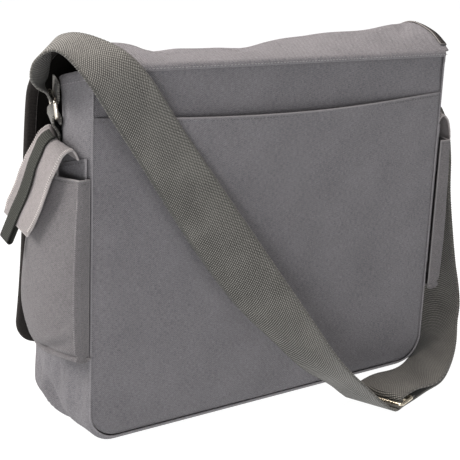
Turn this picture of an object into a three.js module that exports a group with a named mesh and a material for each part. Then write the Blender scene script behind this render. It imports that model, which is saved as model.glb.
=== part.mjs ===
// A laptop messenger bag in canvas, standing on its base with the flap closed over the front.
// Millimetres, Z up. The back panel faces +Y and the flap hangs on -Y. The origin is on the floor, half way
// along the bag and half way between the back panel and the foot of the flap.
import * as THREE from 'three';

// Bag body
const bag_width = 400;
const bag_height = 327;
const bag_depth = 130;
const corner_radius = 28;
const seam_rise = 4;
const canvas_wall = 1.8;
const seam_gap = 0.4;
const cloth_seat = 1;
const gusset_top_drop = 24;
const front_top_drop = 33;
const front_ease = 0.8;
const gusset_ridge = 6;
const gusset_fold = 3.5;

// Back slip pocket
const slip_pocket_drop = 44;
const slip_pocket_hem = bag_height - slip_pocket_drop;
const slip_pocket_hem_dip = 7;
const slip_pocket_stand = 8;

// Flap
const flap_overhang = 4;
const flap_width = bag_width + 2 * flap_overhang;
const flap_corner_radius = 26;
const flap_crown = 19;
const lining_wall = 1.2;
const binding_wall = 1.2;
const binding_width = 9;

// Side pockets and their flaps
const ring_drop = 38;
const ring_height = bag_height - ring_drop;
const side_flap_drop = 30;
const side_flap_root = ring_height - side_flap_drop;
const side_pocket_drop = 21;
const side_pocket_hem = side_flap_root - side_pocket_drop;
const side_pocket_base = 82;
const side_pocket_height = side_pocket_hem - side_pocket_base;
const side_pocket_stand = 26;
const side_pocket_back_rise = 16;
const side_pocket_back_hem = side_pocket_hem + side_pocket_back_rise;
const side_pocket_back_dip = 24;
const side_pocket_lap = 1.5;
const side_pocket_margin = 3.5;
const side_flap_width = 48;
const side_flap_length = 94;
const side_flap_stand = 34;
const side_flap_tilt = 0.27;
const side_flap_depth = 0.51;
const pull_webbing_width = 14;
const pull_webbing_wall = 1.6;
const pull_tab_length = 17;
const hook_patch_size = 24;
const hook_patch_wall = 1.6;

// Webbing, rings and slider
const strap_width = 50;
const strap_wall = 2;
const ring_wire = 3.5;
const ring_inner_width = 53;
const ring_inner_height = 12;
const slider_length = 60;
const slider_width = 27;
const slider_wall = 3;
const slider_bar = 3;
const slider_slot = 8.5;
const strap_sewn_end = 40;
const strap_tail = 14;
const tab_ease = 0.8;
const tab_turn_in = 5;

const half_width = bag_width / 2;
const half_depth = bag_depth / 2;

// The side of the bag by height: where the front seam runs and how far it is drawn in
const side_profile = [
  { height: 0.00, front: -0.225, drawn_in: 0.000, ridge: 0.0 },
  { height: 0.05, front: -0.268, drawn_in: 0.002, ridge: 0.1 },
  { height: 0.10, front: -0.290, drawn_in: 0.005, ridge: 0.3 },
  { height: 0.18, front: -0.288, drawn_in: 0.010, ridge: 0.5 },
  { height: 0.33, front: -0.275, drawn_in: 0.020, ridge: 0.6 },
  { height: 0.51, front: -0.260, drawn_in: 0.045, ridge: 0.6 },
  { height: 0.70, front: -0.245, drawn_in: 0.100, ridge: 0.8 },
  { height: 0.82, front: -0.235, drawn_in: 0.140, ridge: 1.0 },
  { height: 0.90, front: -0.228, drawn_in: 0.135, ridge: 1.0 },
  { height: 0.96, front: -0.224, drawn_in: 0.095, ridge: 1.0 },
  { height: 1.00, front: -0.222, drawn_in: 0.070, ridge: 1.0 },
];

// Soft upright folds in the gusset below the side pocket: place across the side, and size
const gusset_folds = [
  { across: 0.30, size: 0.8 },
  { across: 0.52, size: -1.0 },
  { across: 0.72, size: 0.9 },
];

// The flap seen from the side, from the back seam over the crown and down the front
const flap_profile = [
  { depth: 0.492, height: 0.000, crown: 0.00 },
  { depth: 0.430, height: 0.004, crown: 0.28 },
  { depth: 0.320, height: 0.007, crown: 0.68 },
  { depth: 0.130, height: 0.005, crown: 1.00 },
  { depth: -0.040, height: -0.012, crown: 0.85 },
  { depth: -0.165, height: -0.042, crown: 0.55 },
  { depth: -0.265, height: -0.085, crown: 0.30 },
  { depth: -0.320, height: -0.130, crown: 0.12 },
  { depth: -0.365, height: -0.290, crown: 0.00 },
  { depth: -0.395, height: -0.490, crown: 0.00 },
  { depth: -0.450, height: -0.670, crown: 0.00 },
  { depth: -0.535, height: -0.847, crown: 0.00 },
];

// The crown of the flap along the bag: its rise over the lowest line, as a share of the crown
const crown_line = [
  { along: -1.00, rise: 0.95 },
  { along: -0.94, rise: 1.10 },
  { along: -0.86, rise: 1.00 },
  { along: -0.70, rise: 0.76 },
  { along: -0.50, rise: 0.68 },
  { along: -0.26, rise: 0.52 },
  { along: -0.08, rise: 0.24 },
  { along: 0.06, rise: 0.03 },
  { along: 0.24, rise: 0.12 },
  { along: 0.42, rise: 0.14 },
  { along: 0.55, rise: 0.03 },
  { along: 0.66, rise: 0.34 },
  { along: 0.80, rise: 0.50 },
  { along: 1.00, rise: 0.55 },
];

// Side pocket from the back seam round to the front: how far it stands out, and where
const pocket_section = [
  { round: 0.00, out: 0.00, across: 0.00 },
  { round: 0.12, out: 0.48, across: -0.01 },
  { round: 0.30, out: 0.86, across: 0.22 },
  { round: 0.55, out: 1.00, across: 0.54 },
  { round: 0.78, out: 0.82, across: 0.84 },
  { round: 0.90, out: 0.48, across: 0.98 },
  { round: 1.00, out: 0.00, across: 1.00 },
];

// Side pocket from the hem down: height, how full it is, and how much its front end is rounded up
const pocket_fall = [
  { down: 0.00, height: 1.000, full: 0.70, round_up: 0.00 },
  { down: 0.12, height: 0.870, full: 0.80, round_up: 0.00 },
  { down: 0.25, height: 0.740, full: 0.92, round_up: 0.00 },
  { down: 0.50, height: 0.440, full: 1.03, round_up: 0.03 },
  { down: 0.70, height: 0.180, full: 1.02, round_up: 0.08 },
  { down: 0.82, height: 0.060, full: 0.90, round_up: 0.13 },
  { down: 0.90, height: 0.000, full: 0.62, round_up: 0.15 },
  { down: 1.00, height: 0.015, full: 0.04, round_up: 0.15 },
];

// Pocket flap from its root on the gusset, over the arch and down
const side_flap_fall = [
  { down: 0.00, out: 0.00, height: 0.000, shift: 0.000 },
  { down: 0.06, out: 0.09, height: 0.062, shift: 0.000 },
  { down: 0.12, out: 0.20, height: 0.085, shift: 0.000 },
  { down: 0.25, out: 0.43, height: 0.030, shift: -0.010 },
  { down: 0.33, out: 0.56, height: -0.055, shift: -0.020 },
  { down: 0.43, out: 0.70, height: -0.165, shift: -0.055 },
  { down: 0.53, out: 0.77, height: -0.277, shift: -0.105 },
  { down: 0.72, out: 0.85, height: -0.450, shift: -0.200 },
  { down: 0.88, out: 0.94, height: -0.615, shift: -0.320 },
  { down: 1.00, out: 1.00, height: -0.720, shift: -0.385 },
];

// Strap from the left ring over the crown, down the back, over the floor and up to the right ring.
// Places are shares of half the bag's width, half its depth and its height.
// lean_x, lean_y, lean_z point across the webbing, from its inner to its outer edge.
const strap_route = [
  { x: 1.055, y: 0.10, z: 0.928, lean_x: -0.40, lean_y: -0.92, lean_z: 0.00 },
  { x: 1.095, y: 0.26, z: 0.952, lean_x: -0.60, lean_y: -0.80, lean_z: 0.04 },
  { x: 1.125, y: 0.40, z: 0.985, lean_x: -0.69, lean_y: -0.71, lean_z: 0.12 },
  { x: 1.130, y: 0.51, z: 1.027, lean_x: -0.68, lean_y: -0.71, lean_z: 0.16 },
  { x: 1.110, y: 0.62, z: 1.052, lean_x: -0.63, lean_y: -0.76, lean_z: 0.14 },
  { x: 1.075, y: 0.74, z: 1.060, lean_x: -0.66, lean_y: -0.73, lean_z: 0.18 },
  { x: 1.025, y: 0.90, z: 1.045, lean_x: -0.70, lean_y: -0.64, lean_z: 0.32 },
  { x: 0.945, y: 1.12, z: 1.000, lean_x: -0.82, lean_y: -0.32, lean_z: 0.47 },
  { x: 0.850, y: 1.18, z: 0.927, lean_x: -0.82, lean_y: -0.12, lean_z: 0.56 },
  { x: 0.715, y: 1.19, z: 0.812, lean_x: -0.81, lean_y: -0.10, lean_z: 0.57 },
  { x: 0.572, y: 1.21, z: 0.690, lean_x: -0.81, lean_y: 0.04, lean_z: 0.59 },
  { x: 0.402, y: 1.28, z: 0.543, lean_x: -0.75, lean_y: 0.28, lean_z: 0.59 },
  { x: 0.228, y: 1.45, z: 0.390, lean_x: -0.60, lean_y: 0.55, lean_z: 0.58 },
  { x: 0.077, y: 1.64, z: 0.271, lean_x: -0.34, lean_y: 0.80, lean_z: 0.50 },
  { x: -0.072, y: 1.82, z: 0.158, lean_x: -0.15, lean_y: 0.91, lean_z: 0.38 },
  { x: -0.225, y: 1.92, z: 0.079, lean_x: -0.12, lean_y: 0.97, lean_z: 0.20 },
  { x: -0.305, y: 1.96, z: 0.036, lean_x: -0.20, lean_y: 0.97, lean_z: 0.10 },
  { x: -0.370, y: 1.955, z: 0.009, lean_x: -0.34, lean_y: 0.94, lean_z: 0.00 },
  { x: -0.455, y: 1.86, z: 0.004, lean_x: -0.34, lean_y: 0.94, lean_z: 0.00 },
  { x: -0.560, y: 1.76, z: 0.004, lean_x: -0.32, lean_y: 0.95, lean_z: 0.00 },
  { x: -0.700, y: 1.62, z: 0.004, lean_x: -0.24, lean_y: 0.97, lean_z: 0.00 },
  { x: -0.850, y: 1.51, z: 0.008, lean_x: -0.15, lean_y: 0.98, lean_z: 0.03 },
  { x: -1.020, y: 1.22, z: 0.020, lean_x: -0.12, lean_y: 0.98, lean_z: 0.12 },
  { x: -1.160, y: 0.90, z: 0.040, lean_x: -0.16, lean_y: 0.95, lean_z: 0.26 },
  { x: -1.250, y: 0.63, z: 0.072, lean_x: -0.26, lean_y: 0.89, lean_z: 0.37 },
  { x: -1.305, y: 0.50, z: 0.120, lean_x: -0.22, lean_y: 0.90, lean_z: 0.36 },
  { x: -1.328, y: 0.40, z: 0.180, lean_x: -0.12, lean_y: 0.95, lean_z: 0.26 },
  { x: -1.322, y: 0.31, z: 0.275, lean_x: -0.03, lean_y: 0.99, lean_z: 0.10 },
  { x: -1.297, y: 0.25, z: 0.400, lean_x: 0.00, lean_y: 1.00, lean_z: 0.00 },
  { x: -1.262, y: 0.20, z: 0.530, lean_x: -0.06, lean_y: 1.00, lean_z: 0.00 },
  { x: -1.248, y: 0.15, z: 0.650, lean_x: -0.14, lean_y: 0.99, lean_z: 0.00 },
  { x: -1.215, y: 0.09, z: 0.745, lean_x: -0.28, lean_y: 0.96, lean_z: 0.00 },
  { x: -1.170, y: 0.04, z: 0.800, lean_x: -0.34, lean_y: 0.94, lean_z: 0.00 },
];
const slider_row = 18;

// Curve through a table's rows at a given place
function read(table, place, key, column) {
  const last = table.length - 1;
  let k = 0;
  while (k < last - 1 && place > table[k + 1][key]) k += 1;
  const slope = (i) => {
    const a = Math.max(i - 1, 0);
    const b = Math.min(i + 1, last);
    return (table[b][column] - table[a][column]) / (table[b][key] - table[a][key]);
  };
  const step = table[k + 1][key] - table[k][key];
  const t = THREE.MathUtils.clamp((place - table[k][key]) / step, 0, 1);
  const rise = table[k + 1][column] - table[k][column];
  const t2 = t * t;
  const t3 = t2 * t;
  return table[k][column] + (3 * t2 - 2 * t3) * rise
    + (t3 - 2 * t2 + t) * step * slope(k) + (t3 - t2) * step * slope(k + 1);
}

const vec = (x, y, z) => new THREE.Vector3(x, y, z);
const mix = THREE.MathUtils.lerp;
const smooth = (a, b, x) => THREE.MathUtils.smoothstep(x, a, b);

// Evenly spaced stops from 0 to 1, or the given list
function stops(count) {
  if (Array.isArray(count)) return count;
  return Array.from({ length: count + 1 }, (_, k) => k / count);
}

function solid(positions, triangles) {
  const geometry = new THREE.BufferGeometry();
  geometry.setAttribute('position', new THREE.Float32BufferAttribute(positions, 3));
  geometry.setIndex(triangles);
  geometry.computeVertexNormals();
  return geometry;
}

// A cloth wall over the surface place(u, v). seat 0 puts the surface at mid wall,
// seat 1 grows the wall along the surface's normal and seat -1 against it.
function clothSheet(place, wall, across, along, seat = 0) {
  const us = stops(across);
  const vs = stops(along);
  const cols = us.length;
  const rows = vs.length;
  const points = vs.map((v) => us.map((u) => place(u, v)));
  const front = [];
  const back = [];
  for (let j = 0; j < rows; j += 1) {
    for (let i = 0; i < cols; i += 1) {
      const du = points[j][Math.min(i + 1, cols - 1)].clone().sub(points[j][Math.max(i - 1, 0)]);
      const dv = points[Math.min(j + 1, rows - 1)][i].clone().sub(points[Math.max(j - 1, 0)][i]);
      const normal = du.cross(dv).normalize();
      const p = points[j][i];
      front.push(...p.clone().addScaledVector(normal, wall * (1 + seat) / 2).toArray());
      back.push(...p.clone().addScaledVector(normal, -wall * (1 - seat) / 2).toArray());
    }
  }
  const behind = cols * rows;
  const at = (i, j) => j * cols + i;
  const triangles = [];
  for (let j = 0; j < rows - 1; j += 1) {
    for (let i = 0; i < cols - 1; i += 1) {
      const a = at(i, j);
      const b = at(i + 1, j);
      const c = at(i + 1, j + 1);
      const d = at(i, j + 1);
      triangles.push(a, b, c, a, c, d);
      triangles.push(behind + a, behind + c, behind + b, behind + a, behind + d, behind + c);
    }
  }
  const rim = [];
  for (let i = 0; i < cols - 1; i += 1) rim.push(at(i, 0));
  for (let j = 0; j < rows - 1; j += 1) rim.push(at(cols - 1, j));
  for (let i = cols - 1; i > 0; i -= 1) rim.push(at(i, rows - 1));
  for (let j = rows - 1; j > 0; j -= 1) rim.push(at(0, j));
  rim.forEach((a, k) => {
    const b = rim[(k + 1) % rim.length];
    triangles.push(b, a, behind + a, b, behind + a, behind + b);
  });
  return solid([...front, ...back], triangles);
}

// A bar swept through stations, each a list of points round the section, seen from the far end.
// The two halves of a span are split along matching diagonals, so flat webbing keeps its wall where it twists.
// turned marks spans that run back along others and take the other diagonal, so the layers stay apart.
function sweep(stations, closed = false, turned = []) {
  const sides = stations[0].length;
  const positions = stations.flatMap((section) => section.flatMap((p) => p.toArray()));
  const triangles = [];
  const turns = closed ? stations.length : stations.length - 1;
  for (let s = 0; s < turns; s += 1) {
    const here = s * sides;
    const next = ((s + 1) % stations.length) * sides;
    for (let k = 0; k < sides; k += 1) {
      const m = (k + 1) % sides;
      if ((k < sides / 2) !== Boolean(turned[s])) triangles.push(here + k, here + m, next + m, here + k, next + m, next + k);
      else triangles.push(here + k, here + m, next + k, here + m, next + m, next + k);
    }
  }
  if (!closed) {
    const end = (stations.length - 1) * sides;
    for (let k = 1; k < sides - 1; k += 1) {
      triangles.push(0, k + 1, k);
      triangles.push(end, end + k, end + k + 1);
    }
  }
  return solid(positions, triangles);
}

// Flat webbing through stations of centre and lean, the direction across it
function webbing(route, width, wall) {
  return sweep(route.map((station, k) => {
    const before = route[Math.max(k - 1, 0)].centre;
    const after = route[Math.min(k + 1, route.length - 1)].centre;
    const ahead = after.clone().sub(before);
    const normal = ahead.clone().cross(station.lean).normalize().multiplyScalar(wall / 2);
    const half = station.lean.clone().multiplyScalar(width / 2);
    const c = station.centre;
    return [
      c.clone().sub(half).sub(normal),
      c.clone().add(half).sub(normal),
      c.clone().add(half).add(normal),
      c.clone().sub(half).add(normal),
    ];
  }), false, route.map((station) => station.returning));
}

// Outline of a panel that is sewn to the gusset: half its width at each stop from the top down,
// with the bottom corners rounded. inset keeps it inside the band.
const panel_stops = [0, 0.12, 0.26, 0.42, 0.58, 0.74, 0.88, 0.905, 0.93, 0.955, 0.98, 1];
const corner_start = 0.88;

function panelEdge(v, inset) {
  const foot = seam_rise + inset;
  if (v <= corner_start) {
    return { x: half_width - inset, z: mix(bag_height, foot + corner_radius, v / corner_start) };
  }
  const turn = (v - corner_start) / (1 - corner_start) * Math.PI / 2;
  return {
    x: half_width - inset - corner_radius * (1 - Math.cos(turn)),
    z: foot + corner_radius * (1 - Math.sin(turn)),
  };
}

// Front seam of the bag at a height
function frontSeam(z) {
  return bag_depth * read(side_profile, z / bag_height, 'height', 'front');
}

function drawnIn(z) {
  return half_width * read(side_profile, z / bag_height, 'height', 'drawn_in');
}

// How far the gusset's outer face stands from the plain outline, at a share across its depth
function gussetSwell(across, z) {
  const ridge = gusset_ridge * read(side_profile, z / bag_height, 'height', 'ridge');
  const folds = gusset_folds.reduce((sum, fold) => {
    const near = Math.exp(-(((across - fold.across) / 0.07) ** 2));
    return sum + fold.size * near;
  }, 0);
  const low = smooth(0.03, 0.12, z / bag_height) * (1 - smooth(0.2, 0.3, z / bag_height));
  return ridge * Math.sin(Math.PI * across) + gusset_fold * folds * low
    - drawnIn(z) * smooth(0.32, 1, across);
}

// A point on the outer face of the left gusset at a depth and height
function gussetFace(y, z, stand = 0) {
  const across = (half_depth - y) / (half_depth - frontSeam(z));
  return vec(half_width + gussetSwell(THREE.MathUtils.clamp(across, 0, 1), z) + stand, y, z);
}

// The band of the gusset: down the left side, under the base and up the right side
const straight = bag_height - corner_radius;
const arc_steps = 5;
const band_stations = [];
const side_levels = [1, 0.88, 0.76, 0.64, 0.52, 0.4, 0.3, 0.22, 0.16, 0.1, 0.04];
side_levels.forEach((level) => {
  band_stations.push({ x: half_width, z: corner_radius + straight * level, nx: 1, nz: 0 });
});
for (let k = 0; k <= arc_steps; k += 1) {
  const turn = k / arc_steps * Math.PI / 2;
  band_stations.push({
    x: half_width - corner_radius * (1 - Math.cos(turn)),
    z: corner_radius * (1 - Math.sin(turn)),
    nx: Math.cos(turn),
    nz: -Math.sin(turn),
  });
}
band_stations.push({ x: (half_width - corner_radius) / 2, z: 0, nx: 0, nz: -1 });
const band_middle = { x: 0, z: 0, nx: 0, nz: -1 };
const band_right = [...band_stations].reverse().map((s) => ({ x: -s.x, z: s.z, nx: -s.nx, nz: s.nz }));
const band = [...band_stations, band_middle, ...band_right];
const band_across = [0, 0.06, 0.18, 0.3, 0.42, 0.52, 0.62, 0.74, 0.88, 1];

function bandPoint(across, station) {
  const s = band[Math.round(station * (band.length - 1))];
  const lift = smooth(0.4, 1, s.z / bag_height);
  const z = s.z - gusset_top_drop * across * lift;
  const y = mix(half_depth, frontSeam(z), across);
  const seam = Math.max(1 - across / 0.06, 0, (across - 0.88) / 0.12);
  const out = gussetSwell(across, z) * Math.abs(s.nx) - seam_rise * seam * Math.abs(s.nz);
  return vec(s.x + s.nx * out, y, z + s.nz * out);
}

const gusset = clothSheet(
  (u, v) => bandPoint(u, v), canvas_wall, band_across, band.map((_, k) => k / (band.length - 1)), -1,
);

// Back and front panels, butted inside the gusset's edges
const panel_inset = canvas_wall + seam_gap;
const back_face = half_depth - canvas_wall - seam_gap;

const backPanel = clothSheet((u, v) => {
  const edge = panelEdge(v, panel_inset);
  return vec(mix(edge.x, -edge.x, u), back_face, edge.z);
}, canvas_wall, 12, panel_stops, 1);

function slipPocketPoint(u, v) {
  const edge = panelEdge(v, panel_inset);
  const x = mix(edge.x, -edge.x, u);
  const arch = Math.sin(Math.PI * u);
  const hem = slip_pocket_hem - slip_pocket_hem_dip * arch;
  const z = edge.z > corner_radius ? edge.z * hem / bag_height + seam_rise : edge.z;
  const open = slip_pocket_stand * arch * smooth(0.25, 1, z / bag_height) ** 1.5;
  const belly = 2 * arch * Math.sin(Math.PI * z / bag_height);
  return vec(x, half_depth + open + belly, z);
}

const slip_pocket_steps = 14;
const slipPocket = clothSheet(slipPocketPoint, canvas_wall, slip_pocket_steps, panel_stops, 1);

const frontPanel = clothSheet((u, v) => {
  const edge = panelEdge(v, panel_inset);
  const drop = front_top_drop * smooth(0.4, 1, edge.z / bag_height);
  const z = edge.z - drop - 1;
  const low = Math.max(z, seam_rise + panel_inset);
  const x = (edge.x - front_ease - drawnIn(low)) * mix(1, -1, u);
  return vec(x, frontSeam(low) + canvas_wall, low);
}, canvas_wall, 12, panel_stops, -1);

// The flap's own surface: s runs from the back seam over the crown and down the front
const flap_lengths = [0];
const flap_samples = 60;
const flap_places = flap_profile.map((_, k) => k / (flap_profile.length - 1));
const flap_table = flap_profile.map((row, k) => ({ ...row, place: flap_places[k] }));
const flapProfileAt = (t) => vec(
  0,
  bag_depth * read(flap_table, t, 'place', 'depth'),
  bag_height * (1 + read(flap_table, t, 'place', 'height')),
);
for (let k = 1; k <= flap_samples; k += 1) {
  const step = flapProfileAt(k / flap_samples).distanceTo(flapProfileAt((k - 1) / flap_samples));
  flap_lengths.push(flap_lengths[k - 1] + step);
}
const flap_length = flap_lengths[flap_samples];
const flap_seam_lift = seam_gap;

function flapPlace(x, s) {
  const wanted = THREE.MathUtils.clamp(s / flap_length, 0, 1) * flap_length;
  let k = 0;
  while (k < flap_samples - 1 && flap_lengths[k + 1] < wanted) k += 1;
  const part = (wanted - flap_lengths[k]) / (flap_lengths[k + 1] - flap_lengths[k]);
  const t = (k + part) / flap_samples;
  const base = flapProfileAt(t);
  const crown = read(flap_table, t, 'place', 'crown') * flap_crown;
  const rise = read(crown_line, x / (flap_width / 2), 'along', 'rise');
  return vec(x, base.y, base.z + crown * rise + flap_seam_lift);
}

function flapNormal(x, s) {
  const step = 2;
  const dx = flapPlace(x + step, s).sub(flapPlace(x - step, s));
  const ds = flapPlace(x, Math.min(s + step, flap_length)).sub(flapPlace(x, Math.max(s - step, 0)));
  return ds.cross(dx).normalize();
}

// A point of the flap, set off its middle surface and in from its outline
const flap_rows = [0, 0.013, 0.035, 0.075, 0.12, 0.165, 0.21, 0.25, 0.29, 0.35, 0.45, 0.56, 0.67, 0.78, 0.87, 0.91,
  0.94, 0.97, 0.99, 1];
const flap_corner_start = 0.91;

function flapOutline(v, inset) {
  const long = flap_length - inset;
  const radius = flap_corner_radius - inset;
  if (v <= flap_corner_start) {
    return { x: flap_width / 2 - inset, s: (long - radius) * v / flap_corner_start };
  }
  const turn = (v - flap_corner_start) / (1 - flap_corner_start) * Math.PI / 2;
  return {
    x: flap_width / 2 - inset - radius * (1 - Math.cos(turn)),
    s: long - radius * (1 - Math.sin(turn)),
  };
}

const flap_half_columns = [0, 0.025, 0.07, 0.13, 0.2, 0.275, 0.35, 0.425];
const flap_columns = [...flap_half_columns, 0.5, ...[...flap_half_columns].reverse().map((u) => 1 - u)];

function flapSheet(inset, offset, wall, rows) {
  return clothSheet((u, v) => {
    const edge = flapOutline(v, inset);
    const x = mix(-edge.x, edge.x, u);
    return flapPlace(x, edge.s).addScaledVector(flapNormal(x, edge.s), offset);
  }, wall, flap_columns, rows, 0);
}

const flap_inset = binding_wall + seam_gap;
const flap_offset = (seam_gap + canvas_wall) / 2;
const lining_offset = -(seam_gap + lining_wall) / 2;
const flap = flapSheet(flap_inset, flap_offset, canvas_wall, flap_rows);
const flapLining = flapSheet(flap_inset, lining_offset, lining_wall, flap_rows.slice(1));

// The binding folds over the flap's free edge: a section of two legs and a cap, run round the outline
const binding_path = [];
const binding_side = flap_rows.filter((v) => v > 0 && v < flap_corner_start);
const binding_corner = 5;
binding_side.forEach((v) => binding_path.push({ side: 1, v }));
for (let k = 0; k <= binding_corner; k += 1) {
  binding_path.push({ side: 1, v: mix(flap_corner_start, 1, k / binding_corner) });
}
const bottom_steps = 8;
for (let k = 1; k < bottom_steps; k += 1) binding_path.push({ side: mix(1, -1, k / bottom_steps), v: 1 });
[...binding_path].slice(0, binding_side.length + binding_corner + 1).reverse()
  .forEach((p) => binding_path.push({ side: -1, v: p.v }));

function bindingSection({ side, v }) {
  const outer = flap_offset + canvas_wall / 2 + seam_gap;
  const inner = lining_offset - lining_wall / 2 - seam_gap;
  const at = (inset, offset) => {
    const edge = flapOutline(v, inset);
    const x = edge.x * side;
    return flapPlace(x, edge.s).addScaledVector(flapNormal(x, edge.s), offset);
  };
  return [
    at(0, inner - binding_wall),
    at(0, outer + binding_wall),
    at(binding_width, outer + binding_wall),
    at(binding_width, outer),
    at(binding_wall, outer),
    at(binding_wall, inner),
    at(binding_width, inner),
    at(binding_width, inner - binding_wall),
  ];
}

// Triangles of the binding's section: cap in the middle, a leg on each side
function bindingSolid() {
  const sections = binding_path.map(bindingSection);
  const geometry = sweep(sections);
  const sides = 8;
  const end = (sections.length - 1) * sides;
  const cap = [[0, 1, 4], [0, 4, 5], [1, 2, 3], [1, 3, 4], [0, 5, 6], [0, 6, 7]];
  const plain = 2 * sides * (sections.length - 1) * 3;
  const index = Array.from(geometry.getIndex().array).slice(0, plain);
  cap.forEach(([a, b, c]) => {
    index.push(a, c, b);
    index.push(end + a, end + b, end + c);
  });
  return solid(Array.from(geometry.getAttribute('position').array), index);
}

const flapBinding = bindingSolid();

// Mirrors a solid to the right side of the bag
function mirrored(geometry) {
  const positions = Array.from(geometry.getAttribute('position').array);
  for (let k = 0; k < positions.length; k += 3) positions[k] = -positions[k];
  const index = Array.from(geometry.getIndex().array);
  for (let k = 0; k < index.length; k += 3) [index[k + 1], index[k + 2]] = [index[k + 2], index[k + 1]];
  return solid(positions, index);
}

// Left side pocket: a bellows pouch open at the top, sewn to the gusset along its sides and bottom
const pocket_root = 1;

// Depth on the side of the bag between the pocket's back and front seams
function pocketDepth(across, z) {
  return mix(half_depth + side_pocket_lap, frontSeam(z) + side_pocket_margin, across);
}

function pocketPoint(u, v) {
  const full = read(pocket_fall, v, 'down', 'full');
  const up = read(pocket_fall, v, 'down', 'round_up') * smooth(0.42, 0.88, u);
  const tall = read(pocket_fall, v, 'down', 'height') * (1 - up) + up;
  const z = side_pocket_base + side_pocket_height * tall;
  const y = pocketDepth(read(pocket_section, u, 'round', 'across'), z);
  const out = side_pocket_stand * read(pocket_section, u, 'round', 'out') * full;
  return gussetFace(y, z, canvas_wall / 2 + pocket_root + out);
}

const pocket_round = [0, 0.05, 0.12, 0.2, 0.3, 0.42, 0.55, 0.67, 0.78, 0.86, 0.92, 1];
const pocket_down = [0, 0.12, 0.25, 0.4, 0.55, 0.68, 0.77, 0.84, 0.9, 0.95, 1];
const sidePocket = clothSheet((u, v) => pocketPoint(u, v), canvas_wall, pocket_round, pocket_down, 0);

// Backing patch that faces the gusset inside the pocket
const patch_edge = 0.05;
const patch_foot = 0.17;
const sidePocketBack = clothSheet((u, v) => {
  const hem = side_pocket_back_hem - side_pocket_back_dip * u;
  const z = mix(hem, side_pocket_base + side_pocket_height * patch_foot, v);
  return gussetFace(pocketDepth(mix(patch_edge, 1 - patch_edge, u), z), z, cloth_seat);
}, canvas_wall, 8, 8, 1);

// Pocket flap: a tongue of canvas that arches out from the gusset and hangs clear of the pocket
function sideFlapPoint(u, v, offset = 0) {
  const root_stand = cloth_seat + tab_ease + strap_wall + seam_gap + canvas_wall / 2;
  const row = (column) => read(side_flap_fall, v, 'down', column);
  const corner = smooth(0.86, 1, v) * 0.1 * Math.abs(2 * u - 1) ** 3;
  const across = side_flap_width * (u - 0.5) * (1 - corner);
  const y = half_depth * (side_flap_depth + row('shift')) - across * Math.cos(side_flap_tilt);
  const z = side_flap_root + side_flap_length * row('height') + across * Math.sin(side_flap_tilt);
  const root = gussetFace(y, side_flap_root - 4, root_stand);
  const crown = half_width + root_stand + side_flap_stand * row('out');
  const x = mix(root.x + side_flap_stand * row('out'), crown, smooth(0.1, 0.6, v));
  return vec(x + offset, y, z);
}

function sideFlapNormal(u, v) {
  const step = 0.02;
  const du = sideFlapPoint(Math.min(u + step, 1), v).sub(sideFlapPoint(Math.max(u - step, 0), v));
  const dv = sideFlapPoint(u, Math.min(v + step, 1)).sub(sideFlapPoint(u, Math.max(v - step, 0)));
  return du.cross(dv).normalize();
}

const side_flap_rows = [0, 0.06, 0.12, 0.18, 0.25, 0.33, 0.42, 0.52, 0.64, 0.76, 0.88, 0.95, 1];
const sideFlap = clothSheet((u, v) => sideFlapPoint(u, v), canvas_wall, 6, side_flap_rows, 0);

// Webbing sewn down the middle of the pocket flap, folded under past its end as a pull
const pull_offset = canvas_wall / 2 + seam_gap + pull_webbing_wall / 2;
const pull_place = 0.6;
const pull_rows = [
  ...[0.12, 0.18, 0.25, 0.33, 0.42, 0.52, 0.64, 0.76, 0.88, 1].map((t) => ({ part: 'face', t })),
  ...[0, 0.25, 0.5, 0.75, 1].map((t) => ({ part: 'fold', t })),
  ...[0.5, 1].map((t) => ({ part: 'tail', t })),
];

function pullPoint(u, v) {
  const row = pull_rows[Math.round(v * (pull_rows.length - 1))];
  const share = pull_place + (u - 0.5) * pull_webbing_width / side_flap_width;
  if (row.part === 'face') {
    return sideFlapPoint(share, row.t).addScaledVector(sideFlapNormal(share, row.t), pull_offset);
  }
  const down = sideFlapPoint(pull_place, 1).sub(sideFlapPoint(pull_place, 0.95)).normalize();
  const normal = sideFlapNormal(pull_place, 1);
  const end = sideFlapPoint(share, 1).addScaledVector(down, pull_tab_length);
  const turn = row.part === 'fold' ? row.t * Math.PI : Math.PI;
  const back = row.part === 'tail' ? row.t * pull_tab_length * 1.6 : 0;
  return end
    .addScaledVector(normal, pull_offset * Math.cos(turn))
    .addScaledVector(down, pull_offset * Math.sin(turn) - back);
}

const pullWebbing = clothSheet(
  pullPoint, pull_webbing_wall, 2, pull_rows.map((_, k) => k / (pull_rows.length - 1)), 0,
);

// Hook patch on the pocket's front, where the flap closes
const hookPatch = clothSheet((u, v) => {
  const round = mix(0.47, 0.6, u);
  const down = mix(0.12, 0.12 + hook_patch_size / side_pocket_height, v);
  const step = 0.01;
  const p = pocketPoint(round, down);
  const du = pocketPoint(round + step, down).sub(pocketPoint(round - step, down));
  const dv = pocketPoint(round, down + step).sub(pocketPoint(round, down - step));
  const normal = du.cross(dv).normalize();
  return p.addScaledVector(normal, canvas_wall / 2 + seam_gap);
}, hook_patch_wall, 2, 2, 1);

// Rings: bent wire, upright on the left where the strap pulls up, tipped out on the right
const ring_turn = 0.4;
const ring_lean = vec(-Math.sin(ring_turn), -Math.cos(ring_turn), 0);
const ring_depth = 1;
const bar_reach = ring_inner_height / 2 + ring_wire / 2;
const wrap_radius = ring_wire / 2 + seam_gap + strap_wall / 2;
const ring_near = (ring_inner_width + 2 * ring_wire) / 2 * -ring_lean.y;
const ring_stand = wrap_radius + strap_wall / 2 + cloth_seat;
const ring_x = gussetFace(ring_depth + ring_near, ring_height).x + ring_stand + ring_near * ring_lean.x;
const ring_foot = vec(ring_x, ring_depth, ring_height - bar_reach);

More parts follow.
